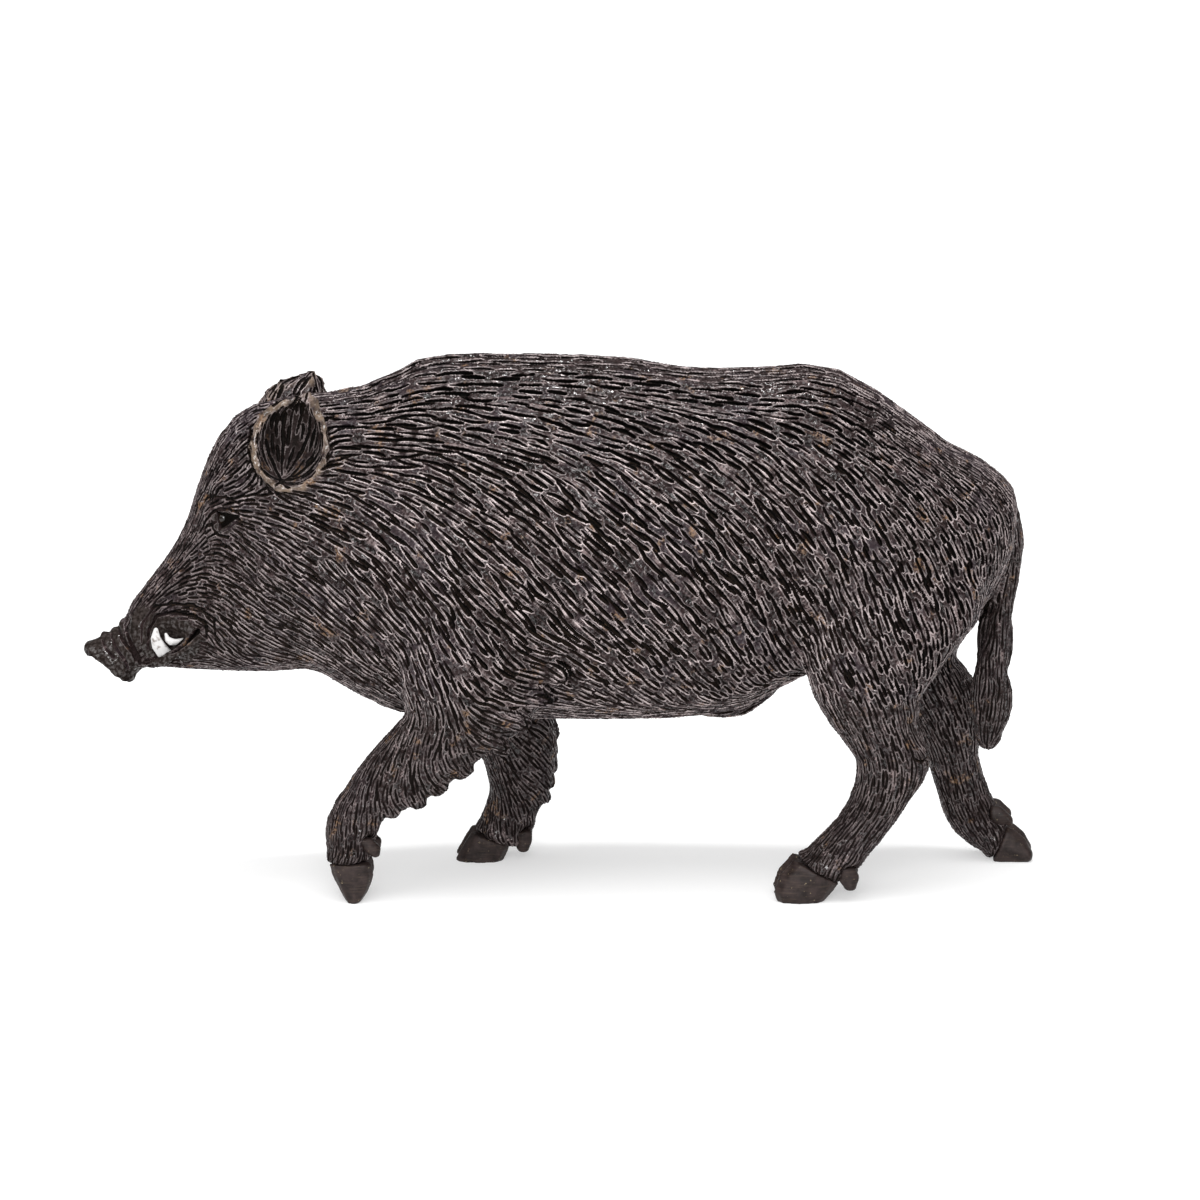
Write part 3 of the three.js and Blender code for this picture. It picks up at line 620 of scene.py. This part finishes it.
# An undercut runs round the end of every lock. Its floor takes the grooves' painted shade, the
# shadow under the lock's step.
UNDERCUT = (0.15, 0.55)
UNDERCUT_REACH = (0.62, 0.55)  # against the lock's length and width
BEARINGS = np.array([-1.2, -0.7, 0.0, 0.7, 1.2])
for number, (x, z, angle, length, width, _) in enumerate(LOCKS["left"]):
    turned = math.radians(angle)
    forward = UNDERCUT_REACH[0] * length * np.cos(BEARINGS)
    sideways = UNDERCUT_REACH[1] * width * np.sin(BEARINGS)
    bow = np.stack([x + forward * math.cos(turned) - sideways * math.sin(turned),
                    z + forward * math.sin(turned) + sideways * math.cos(turned)], axis=1)
    LINES[f"lock_end_{number}"] = (bow, *UNDERCUT)
OUTSIDE = 40.0
from_side = BVHTree.FromPolygons(body.points.tolist(), body.quads.tolist()).ray_cast
for line, half, deep in LINES.values():
    for sign in SIDES.values():
        corners = np.array(line)
        along = np.concatenate([[0], np.cumsum(lengths(np.diff(corners, axis=0)))])
        steps = np.linspace(0, along[-1], int(along[-1] / STEP) + 2)
        hits = [from_side((x, OUTSIDE * sign, z), (0, -sign, 0))[0]
                for x, z in zip(*(np.interp(steps, along, column) for column in corners.T))]
        found = np.array([hit for hit in hits if hit is not None])
        if len(found) < 3:  # the line runs past this side's leg
            continue
        heading = unit(np.gradient(found, axis=0))
        at = nearest_in(body_tree, found)
        samples.append((found, out[at], heading, np.linspace(-1, 1, len(found)),
                        np.full(len(found), len(half_width))))
        half_width = np.append(half_width, half)
        half_length = np.append(half_length, along[-1] / 2)
        groove_depth = np.append(groove_depth, deep)
sample_at, sample_out, sample_way, sample_s, sample_of = (
    np.concatenate(column) for column in zip(*samples))

# ---- The carved coat ----

limb = body.averaged(of(*LEGS, "tail").astype(float), 12)
coat, fine_flow, fine_measure, fine_hollow, ear, rim, inside, bald, limb = body.halved(
    flow, measure, hollow, of("ear").astype(float), ear_rim, ear_inside, bare, limb)
fine_out = coat.normals()
fine_flow = laid_flat(fine_flow, fine_out)
sample_tree = tree_of(sample_at)
NEAR = 6  # the samples that each point is measured from
near = np.array([[hit[1] for hit in sample_tree.find_n(p, NEAR)] for p in coat.points.tolist()])

# edge: distance outside the nearest groove's outline, negative in the groove. below: 1 on the
# groove's lower side and -1 on its upper side. depth: how deep that groove is.
CLEAR = 2.0  # no groove is near
SAME_FACE = 0.3  # least agreement of the directions out of the hide
SAMPLE_REACH = 0.6
BLUNT, SWELL = 0.3, 0.2  # shape of a groove's ends, and how much it widens along the hair
edge, below, depth = np.full(coat.size, CLEAR), np.zeros(coat.size), np.zeros(coat.size)
for column in near.T:
    offset = coat.points - sample_at[column]
    offset -= (offset * fine_out).sum(axis=1, keepdims=True) * fine_out
    forward = (offset * sample_way[column]).sum(axis=1)
    sideways = offset - forward[:, None] * sample_way[column]
    across = lengths(sideways)
    groove = sample_of[column]
    s = sample_s[column] + forward / half_length[groove]
    width = half_width[groove] * np.clip(1 - s * s, 0, 1) ** BLUNT * (1 + SWELL * s)
    beyond = half_length[groove] * np.maximum(np.abs(s) - 1, 0)
    gap = np.where(beyond > 0, np.hypot(across, beyond), across - width)
    facing = (sample_out[column] * fine_out).sum(axis=1) > SAME_FACE
    gap = np.where(facing & (np.abs(forward) < SAMPLE_REACH), gap, CLEAR)
    closer = gap < edge
    edge = np.where(closer, gap, edge)
    depth = np.where(closer, groove_depth[groove], depth)
    below = np.where(closer, -sideways[:, 2] / np.maximum(across, 1e-6), below)

LARGEST = 2.5


def evened(noise):
    """Noise with a spread of 1 and no far outliers."""
    return np.clip(noise / noise.std(), -LARGEST, LARGEST)


# Noise drawn out along the hair, for the fine strands, and even noise, for knobs.
STRAND_STEP, STRAND_STEPS = 0.5, 6
grain = coat.averaged(rng.normal(0, 1, coat.size), 1)
ahead = nearest_in(tree_of(coat.points), coat.points + STRAND_STEP * fine_flow)
strand, place = grain.copy(), ahead
for _ in range(STRAND_STEPS):
    strand += grain[place]
    place = ahead[place]
strand = evened(strand)
knobs = evened(coat.averaged(rng.normal(0, 1, coat.size), 8))

# The coarser grooves have uneven outlines. All have sloping walls.
UNEVEN_KNOBS, UNEVEN_STRANDS = 0.05, 0.03
WALL = (-0.22, 0.06)
uneven = UNEVEN_KNOBS * knobs + UNEVEN_STRANDS * strand
edge += uneven * (1 - bald) * ease(fine_measure[:, 0], 0.5, 0.95)
cut = depth * (1 - ease(edge, *WALL))

# The lids part in a three-cornered opening, seen from the side.
EYE_OPENING = [(-42.8, 48.15), (-39.8, 48.15), (-42.5, 46.0)]
EYE_DEPTH = 1.1
EYE_WALL = (-0.15, 0.08)
BRIDGE = 2.0  # the opening stays out of the nose's bridge
corners = np.array(EYE_OPENING)
sides = unit(np.roll(corners, -1, axis=0) - corners)
across = [(coat.points[:, [0, 2]] - corner) @ (-side[1], side[0])
          for corner, side in zip(corners, sides)]
elsewhere = (ear > 0) | (np.abs(coat.points[:, 1]) < BRIDGE)
gap = np.where(elsewhere, CLEAR, np.maximum.reduce(across))
cut = np.maximum(cut, EYE_DEPTH * (1 - ease(gap, *EYE_WALL)))
edge = np.minimum(edge, gap)

# Between the grooves the strands show as finer ones; bare places are knobbly instead.
PLATEAU, FURROW, STRAND, KNOB = 0.05, 0.16, 0.03, 0.05  # heights
THIN = 0.6  # how much less of the relief the thin ears take
plateau = ease(edge, 0.05, 0.25)
furrow = plateau * ease(-strand, 0.2, 1.1) * (1 - bald) * (1 - rim)
relief = PLATEAU * plateau - FURROW * furrow + STRAND * strand * plateau * (1 - bald) - cut
coat.push((1 - THIN * ear) * relief + KNOB * knobs * np.maximum(bald, rim))
coat_out = coat.normals()

# ---- Pieces of the coat ----

FLANK_START = 4.0
quad_centre = body.points[body.quads].mean(axis=1)
front, left = quad_centre[:, 0] < FLANK_START, quad_centre[:, 1] < 0


def quads_of(*nodes):
    """True at the body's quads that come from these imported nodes."""
    return of(*nodes)[body.quads[:, 0]]


PATCHES = {"head": quads_of("head", "lower_jaw", "snout"), "neck": quads_of("neck")}
for name, quads in {"shoulder": quads_of("trunk") & front, "flank": quads_of("trunk") & ~front,
                    "haunch": quads_of("hindquarters")}.items():
    PATCHES |= {f"{name}_left": quads & left, f"{name}_right": quads & ~left}
PATCHES |= {name: quads_of(name) for name in ("tail", "ear_left", "ear_right", *LEGS)}


def mark_points(mesh, marks):
    """Gives a mesh its painting marks, one number for each point."""
    for name, values in marks.items():
        held = mesh.attributes.new(name, "FLOAT", "POINT")
        held.data.foreach_set("value", values.astype(np.float32))


def unwrapped(points, quads):
    """Map places for every corner of the quads, from an unwrap of the smooth surface."""
    piece = new_object("unwrap", points, quads.tolist())
    bpy.context.view_layer.objects.active = piece
    piece.select_set(True)
    bpy.ops.object.mode_set(mode="EDIT")
    bpy.ops.mesh.select_all(action="SELECT")
    bpy.ops.uv.smart_project(angle_limit=math.radians(60), island_margin=0.003)
    bpy.ops.object.mode_set(mode="OBJECT")
    places = np.empty(quads.size * 2, dtype=np.float32)
    piece.data.uv_layers.active.uv.foreach_get("vector", places)
    bpy.data.objects.remove(piece)
    return places.reshape(-1, 4, 2)


def quartered(corners):
    """The map places of the four quads that each quad is halved into."""
    middles = (corners + np.roll(corners, -1, axis=1)) / 2
    centre = corners.mean(axis=1)
    return np.stack([np.stack([corners[:, k], middles[:, k], centre, middles[:, k - 1]], axis=1)
                     for k in range(4)], axis=1).reshape(-1, 4, 2)


def skirt(quads):
    """The open sides of a patch, as pairs of points in the order of their quads."""
    sides = np.stack([quads, np.roll(quads, -1, axis=1)], axis=2).reshape(-1, 2)
    low, high = sides.min(axis=1), sides.max(axis=1)
    _, place, count = np.unique(low * (quads.max() + 1) + high, return_inverse=True,
                                return_counts=True)
    return sides[count[place] == 1], np.flatnonzero(count[place] == 1)


SKIRT = 0.85  # how far the coat's pieces reach down into the skin
COAT_MARKS = {
    "edge": edge, "below": below, "depth": depth, "strand": strand, "furrow": furrow,
    "spacing": fine_measure[:, 0], "hollow": fine_hollow, "ear_rim": rim, "ear_inside": inside,
    "bare": bald, "limb": limb,
}


def coat_piece(name, rows):
    """The coat over some of the smooth body's quads, with walls down into the skin all round."""
    fine_rows = (rows[:, None] * 4 + np.arange(4)).ravel()
    used, quads = np.unique(coat.quads[fine_rows], return_inverse=True)
    quads = quads.reshape(-1, 4)
    sides, corners = skirt(quads)
    hem, hem_number = np.unique(sides, return_inverse=True)
    hem_number = hem_number.reshape(-1, 2) + len(used)
    walls = np.stack([sides[:, 1], sides[:, 0], hem_number[:, 0], hem_number[:, 1]], axis=1)
    top = used[hem]
    deep = coat.points[top] - coat_out[top] * SKIRT * (1 - THIN * ear[top, None])
    piece = new_object(name, np.concatenate([coat.points[used], deep]),
                       np.concatenate([quads, walls]).tolist(), MM)
    places = quartered(unwrapped(body.points, body.quads[rows]))
    first = places.reshape(-1, 2)[corners]
    second = np.roll(places, -1, axis=1).reshape(-1, 2)[corners]
    wall_places = np.stack([second, first, first, second], axis=1)
    uv = piece.data.uv_layers.new(name="OFBake")
    uv.uv.foreach_set("vector", np.concatenate([places, wall_places]).ravel().astype(np.float32))
    every = np.concatenate([used, top])
    mark_points(piece.data, {mark: values[every] for mark, values in COAT_MARKS.items()})
    piece.data.normals_split_custom_set_from_vertices(coat_out[every].tolist())
    return piece


hide_pieces = []
for name, quads in PATCHES.items():
    piece = coat_piece(f"coat_{name}", np.flatnonzero(quads))
    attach(piece, "root")
    hide_pieces.append(piece)

# ---- Skin ----

# One closed skin lies under the coat, deeper than the grooves, and is painted like their floors,
# with their painted shade.
SKIN_VOXEL = 0.6
SKIN_DEPTH, EAR_SKIN_DEPTH = 0.75, 0.35
GROOVE_FLOOR = -0.2
inner = voxelled(body.points, body.quads, SKIN_VOXEL)
in_ear = of("ear")[nearest_in(body_tree, inner.points)]
in_ear = inner.averaged(in_ear.astype(float), 2)
inner.push(-SKIN_DEPTH + (SKIN_DEPTH - EAR_SKIN_DEPTH) * in_ear)
skin = new_object("skin", inner.points, inner.quads.tolist(), MM)
mark_points(skin.data, {"edge": np.full(inner.size, GROOVE_FLOOR)})
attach(skin, "root")
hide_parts(*FLESH)

# ---- Hooves, tusks and eyes ----


def refined(node, name, slot, spacing, rounds, shaping=None):
    """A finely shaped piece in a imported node's place."""
    shell = voxelled(*packed_solid(node), spacing)
    shell.relax(rounds)
    if shaping:
        shaping(shell)
    shell, = shell.halved()
    piece = new_object(name, shell.points, shell.quads.tolist(), MM)
    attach(piece, "root")
    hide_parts(node)
    return piece


def stubby(shell, shorter=0.72, thicker=(1.35, 1.15, 1.35)):
    """A dewclaw is a short thick lobe."""
    centre, spans = shell.points.mean(axis=0), np.ptp(shell.points, axis=0)
    scale = np.where(spans == spans.max(), shorter, thicker)
    shell.points = centre + (shell.points - centre) * scale


def tapered(shell, tip=-26.1, narrow=0.5, height=3.4):
    """The lifted forefoot rests on the narrow tip of its hoof."""
    width = narrow + (1 - narrow) * np.sqrt(np.clip(shell.points[:, 2] / height, 0, 1))
    shell.points[:, 0] = tip + (shell.points[:, 0] - tip) * width


def rooted(shell, lip=29.5, shorter=0.85, broader=1.25):
    """A lower tusk is broad, and its root ends behind the lip."""
    shell.points[:, 2] -= shorter * np.minimum(shell.points[:, 2] - lip, 0)
    middle = shell.points[:, 0].mean()
    shell.points[:, 0] = middle + (shell.points[:, 0] - middle) * broader


HORN, IVORY = (0.24, 24), (0.12, 10)  # spacing and rounds of smoothing
horn_pieces, tusk_pieces = [], []
for node in CLAWS:
    shaping = stubby if "dewclaw" in node else tapered if node.startswith("foreleg_left") else None
    horn_pieces.append(refined(node, node.replace("claw", "hoof"), "hoof", *HORN, shaping))
for node in filter(lambda name: name.startswith("tusk"), frame["nodes"]):
    shaping = rooted if "lower" in node else None
    tusk_pieces.append(refined(node, node.replace("tusk", "ivory"), "tusk", *IVORY, shaping))

EYE_SWELL = (1.15, 1.0, 1.0)
EYE_SHIFT = (1.0, -0.45, -0.45)  # back, in and down
CORNEA = 0.16  # how far the front of an eye stands out
CORNEA_EDGE = (0.55, 1.0)
eye_pieces = []
for side, sign in SIDES.items():
    low, high = (np.array(corner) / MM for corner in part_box(f"eye_{side}"))
    points, triangles = ellipsoid((0, 0, 0), (1, 1, 1))
    points *= 1 + CORNEA * ease(points[:, 1:2] * sign, *CORNEA_EDGE)
    points *= np.array(EYE_SWELL) * (high - low) / 2
    points += (low + high) / 2 + np.array(EYE_SHIFT) * (1, sign, 1)
    piece = new_object(f"eyeball_{side}", points, triangles.tolist(), MM)
    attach(piece, "root")
    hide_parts(f"eye_{side}")
    eye_pieces.append(piece)

# ---- Materials ----


class Nodes:
    """A node tree that is written from its inputs to its outputs."""

    def __init__(self, tree):
        self.tree = tree

    def join(self, value, socket):
        """Feeds a socket with another one, or sets it."""
        if isinstance(value, bpy.types.NodeSocket):
            self.tree.links.new(value, socket)
        else:
            socket.default_value = value

    def add(self, kind, *inputs, settings=(), **named):
        """A shader node with its inputs by number and by name."""
        node = self.tree.nodes.new(f"ShaderNode{kind}")
        for key, value in dict(settings).items():
            setattr(node, key, value)
        for key, value in [*enumerate(inputs), *named.items()]:
            self.join(value, node.inputs[key])
        return node

    def mark(self, name):
        """One of the numbers that the mesh carries."""
        return self.add("Attribute", settings={"attribute_name": name}).outputs["Fac"]

    def maths(self, operation, *inputs):
        return self.add("Math", *inputs, settings={"operation": operation}).outputs[0]

    def product(self, first, *others):
        """All the values multiplied."""
        for other in others:
            first = self.maths("MULTIPLY", first, other)
        return first

    def ramp(self, value, low, high):
        """0 at low and 1 at high, which may be the lower number."""
        return self.add("MapRange", value, low, high).outputs[0]

    def mottle(self, scale, detail, low, high):
        """Blotches from 0 to 1, finer at a larger scale."""
        return self.add("Group", settings={"node_tree": MOTTLE}, Scale=scale, Detail=detail,
                        Low=low, High=high).outputs["Mask"]

    def mixed(self, amount, below, above):
        """One colour over another, by amount."""
        node = self.add("Mix", amount, settings={"data_type": "RGBA"})
        for socket, colour in ((6, below), (7, above)):
            self.join((*colour, 1) if isinstance(colour, tuple) else colour, node.inputs[socket])
        return node.outputs[2]

    def bumped(self, shader, height, strength, distance):
        """Fine relief in a shader's own shading."""
        bump = self.add("Bump", Strength=strength, Distance=distance, Height=height)
        self.join(bump.outputs[0], shader.inputs["Normal"])


def mottle_group():
    """Blotches in the paint: 0 where a soft noise is below Low and 1 where it is above High."""
    tree = bpy.data.node_groups.new("paint_mottle", "ShaderNodeTree")
    for label, value in {"Scale": 500.0, "Detail": 3.0, "Low": 0.4, "High": 0.6}.items():
        socket = tree.interface.new_socket(label, in_out="INPUT", socket_type="NodeSocketFloat")
        socket.default_value = value
    tree.interface.new_socket("Mask", in_out="OUTPUT", socket_type="NodeSocketFloat")
    n = Nodes(tree)
    given = tree.nodes.new("NodeGroupInput").outputs
    where = n.add("TexCoord").outputs["Object"]
    noise = n.add("TexNoise", Vector=where, Scale=given["Scale"], Detail=given["Detail"])
    mask = n.ramp(noise.outputs["Fac"], given["Low"], given["High"])
    n.join(mask, tree.nodes.new("NodeGroupOutput").inputs["Mask"])
    return tree


MOTTLE = mottle_group()


def material_of(name, roughness, gloss=0.5, coat_roughness=0.2):
    """A material, the writer of its nodes and its shader."""
    material = bpy.data.materials.new(name)
    material.use_nodes = True
    shader = material.node_tree.nodes["Principled BSDF"]
    shader.inputs["Roughness"].default_value = roughness
    shader.inputs["Specular IOR Level"].default_value = gloss
    shader.inputs["Coat Roughness"].default_value = coat_roughness
    return material, Nodes(material.node_tree), shader


# Paints, in linear colour.
BROWN_BLACK, DUSTY_BROWN = (0.0052, 0.0032, 0.0026), (0.038, 0.0240, 0.0242)
PLUM_GREY, LIMB_BROWN = (0.029, 0.0208, 0.0252), (0.0165, 0.0106, 0.0098)
# The pale grey is worn paint and painted highlight in one.
DRY_BRUSHED, WORN_GREY_AND_HIGHLIGHT = (0.24, 0.185, 0.182), (0.64, 0.545, 0.54)
OCHRE, EAR_OCHRE = (0.22, 0.125, 0.065), (0.17, 0.125, 0.092)
SKIN_DARK, SKIN_LIGHT = (0.0100, 0.0070, 0.0058), (0.030, 0.0220, 0.0198)
FURROW_BLACK, SHADE_BLACK = (0.0045, 0.0032, 0.0027), (0.010, 0.007, 0.006)
# Groove floors: dark wash with painted shade, black under the upper wall, brown on the lower.
PIT_SHADE_BLACK, PIT_SHADE_BROWN = (0.0012, 0.0009, 0.0007), (0.014, 0.0092, 0.0066)
LIMB_PIT_SHADE = (0.0085, 0.0056, 0.0047)
HORN_BLACK, HORN_BROWN = (0.0115, 0.0071, 0.0064), (0.0320, 0.0212, 0.0196)
HORN_RING, HORN_SPECK = (0.075, 0.052, 0.038), (0.16, 0.125, 0.08)
TUSK_WHITE, TUSK_SPECK = (0.54, 0.53, 0.525), (0.20, 0.175, 0.16)
EYE_BLACK, EYE_BROWN = (0.006, 0.004, 0.003), (0.022, 0.013, 0.008)


def hide_material():
    """Brown-black paint, worn grey and painted highlights on groove edges, painted shade in
    grooves.
    """
    material, n, shader = material_of("painted_hide", 0.55, 0.05, 0.12)
    edge, below, strand = n.mark("edge"), n.mark("below"), n.mark("strand")
    bare, limb, ear_inside = n.mark("bare"), n.mark("limb"), n.mark("ear_inside")
    fleck, grain = n.mottle(800, 3, 0.36, 0.60), n.mottle(2600, 2, 0.35, 0.65)

    # Plateaus between the grooves: thin paint with dark furrows and dry-brushed strands.
    dry = n.maths("ADD", n.product(n.ramp(strand, -1.6, 1.8), 0.65), n.product(grain, 0.35))
    base = n.mixed(dry, BROWN_BLACK, DUSTY_BROWN)
    base = n.mixed(n.product(n.mottle(170, 4, 0.50, 0.66), 0.8), base, PLUM_GREY)
    base = n.mixed(n.product(limb, 0.6), base, LIMB_BROWN)
    base = n.mixed(n.product(n.ramp(strand, 0.8, 1.7), fleck, 0.65), base, DRY_BRUSHED)
    base = n.mixed(n.product(n.mark("furrow"), 0.9), base, FURROW_BLACK)

    # Worn edges and painted highlights, palest on the lower side of coarse grooves; ochre left
    # here and there.
    lit = n.maths("MULTIPLY_ADD", below, 0.3, 0.7)
    coarse = n.maths("MULTIPLY_ADD", n.ramp(n.mark("spacing"), 0.55, 0.85), 0.7, 0.3)
    kept = n.maths("MULTIPLY_ADD", limb, -0.4, 1)
    at_edge = n.product(n.ramp(edge, 0.015, 0.05), n.ramp(edge, 0.17, 0.09))
    base = n.mixed(n.product(at_edge, lit, fleck, coarse, kept), base, WORN_GREY_AND_HIGHLIGHT)
    ochre = n.product(n.mottle(420, 3, 0.62, 0.70), n.ramp(grain, 0.3, 0.8), 0.7)
    base = n.mixed(ochre, base, OCHRE)

    # Bare skin round mouth and eyes; painted shade inside the ears and in deep folds; ochre ear
    # rims.
    skin = n.mixed(grain, SKIN_DARK, SKIN_LIGHT)
    base = n.mixed(n.product(bare, n.ramp(edge, 0, 0.12)), base, skin)
    base = n.mixed(n.product(ear_inside, 0.6), base, SHADE_BLACK)
    base = n.mixed(n.product(n.mark("ear_rim"), fleck), base, EAR_OCHRE)
    base = n.mixed(n.ramp(n.mark("hollow"), 0.6, 1.6), base, SHADE_BLACK)

    # Floors of the grooves, and of bare skin's lines where they are deep: dark wash and painted
    # shade.
    # Blackest on the upper side, where the painted shadow of the overhanging wall falls.
    pit_shade = n.mixed(n.ramp(below, -0.2, 1), PIT_SHADE_BLACK, PIT_SHADE_BROWN)
    pit_shade = n.mixed(n.product(limb, 0.3), pit_shade, LIMB_PIT_SHADE)
    deep = n.maths("MAXIMUM", n.ramp(bare, 1, 0), n.ramp(n.mark("depth"), 0.3, 1))
    base = n.mixed(n.product(n.ramp(edge, 0.03, -0.05), deep), base, pit_shade)
    n.join(base, shader.inputs["Base Color"])

    # Glints of varnish on the plateaus.
    n.join(n.maths("MULTIPLY_ADD", fleck, 0.25, 0.45), shader.inputs["Roughness"])
    dull = n.maths("SUBTRACT", 1, ear_inside)
    varnish = n.product(n.ramp(edge, 0, 0.1), n.ramp(grain, 0.4, 0.9), dull)
    n.join(varnish, shader.inputs["Coat Weight"])
    height = n.maths("ADD", n.ramp(edge, -0.12, 0.09), n.product(grain, 0.3))
    n.bumped(shader, height, 0.8, 0.0002)
    return material


def hoof_material():
    """Dark horn with growth rings."""
    material, n, shader = material_of("painted_hoof", 0.45, 0.2)
    where = n.add("TexCoord").outputs["Object"]
    level = n.add("Mapping", Vector=where, Scale=(0.12, 0.12, 1)).outputs[0]
    rings = n.add("TexNoise", Vector=level, Scale=5200, Detail=2).outputs["Fac"]
    grain = n.mottle(900, 4, 0.35, 0.65)
    base = n.mixed(grain, HORN_BLACK, HORN_BROWN)
    base = n.mixed(n.product(n.ramp(rings, 0.5, 0.75), 0.3), base, HORN_RING)
    base = n.mixed(n.mottle(2400, 2, 0.68, 0.74), base, HORN_SPECK)
    n.join(base, shader.inputs["Base Color"])
    n.join(n.maths("MULTIPLY_ADD", grain, 0.2, 0.38), shader.inputs["Roughness"])
    n.bumped(shader, n.maths("ADD", n.product(grain, 0.5), rings), 0.35, 0.00012)
    return material


def tusk_material():
    """White paint with a few dark specks."""
    material, n, shader = material_of("painted_tusk", 0.4, 0.3)
    specks = n.mottle(1500, 4, 0.58, 0.72)
    n.join(n.mixed(specks, TUSK_WHITE, TUSK_SPECK), shader.inputs["Base Color"])
    n.bumped(shader, specks, 0.2, 0.0001)
    return material


def eye_material():
    """Dark brown under a clear gloss."""
    material, n, shader = material_of("painted_eye", 0.12, 0.5)
    base = n.mixed(n.mottle(1200, 2, 0.3, 0.7), EYE_BLACK, EYE_BROWN)
    n.join(base, shader.inputs["Base Color"])
    return material


for material, finished in ((hide_material(), hide_pieces + [skin]), (hoof_material(), horn_pieces),
                           (tusk_material(), tusk_pieces), (eye_material(), eye_pieces)):
    for piece in finished:
        piece.data.materials.append(material)

# ---- Studio ----


def lamp(name, kind, direction, power, place=(0, 0, 0), **settings):
    """A light that shines in a direction."""
    light = bpy.data.lights.new(name, kind)
    light.energy = power
    for key, value in settings.items():
        setattr(light, key, value)
    holder = bpy.data.objects.new(name, light)
    holder.location = place
    holder.rotation_euler = Vector(direction).to_track_quat("-Z", "Y").to_euler()
    bpy.context.scene.collection.objects.link(holder)


lamp("sky_light", "SUN", (0.1, 0.45, -1.0), 3.0, angle=math.radians(75))
lamp("lamp_over", "AREA", (0, 0, -0.55), 1.4, (0, 0, 0.6), shape="DISK", size=0.06)
lamp("lamp_front", "AREA", (0.02, 0.8, -0.27), 3.4, (-0.02, -0.8, 0.3), shape="DISK", size=0.35)
world = bpy.data.worlds.new("studio_air")
bpy.context.scene.world = world
world.use_nodes = True
air = world.node_tree.nodes["Background"]
air.inputs["Color"].default_value = (1, 1, 1, 1)
air.inputs["Strength"].default_value = 0.3
bpy.context.scene.view_settings.view_transform = "Standard"

FAR_AWAY = 3
corners = [(x * FAR_AWAY, y * FAR_AWAY, 0) for x, y in ((-1, -1), (1, -1), (1, 1), (-1, 1))]
floor = new_object("floor", corners, [(0, 1, 2, 3)])
card, _, shader = material_of("floor_card", 0.9, 0.0)
shader.inputs["Base Color"].default_value = (0.6, 0.6, 0.6, 1)
shader.inputs["Emission Color"].default_value = (1, 1, 1, 1)
shader.inputs["Emission Strength"].default_value = 0.45
floor.data.materials.append(card)

CAMERA_RISE = math.radians(12.2)
CAMERA_AWAY = 1.0
AIM = Vector((0.004765, 0, 0.0357))
lens = bpy.data.cameras.new("camera")
lens.lens, lens.sensor_width = 240, 36
camera = bpy.data.objects.new("camera", lens)
camera.location = AIM + CAMERA_AWAY * Vector((0, -math.cos(CAMERA_RISE), math.sin(CAMERA_RISE)))
camera.rotation_euler = (math.pi / 2 - CAMERA_RISE, 0, 0)
bpy.context.scene.collection.objects.link(camera)
bpy.context.scene.camera = camera
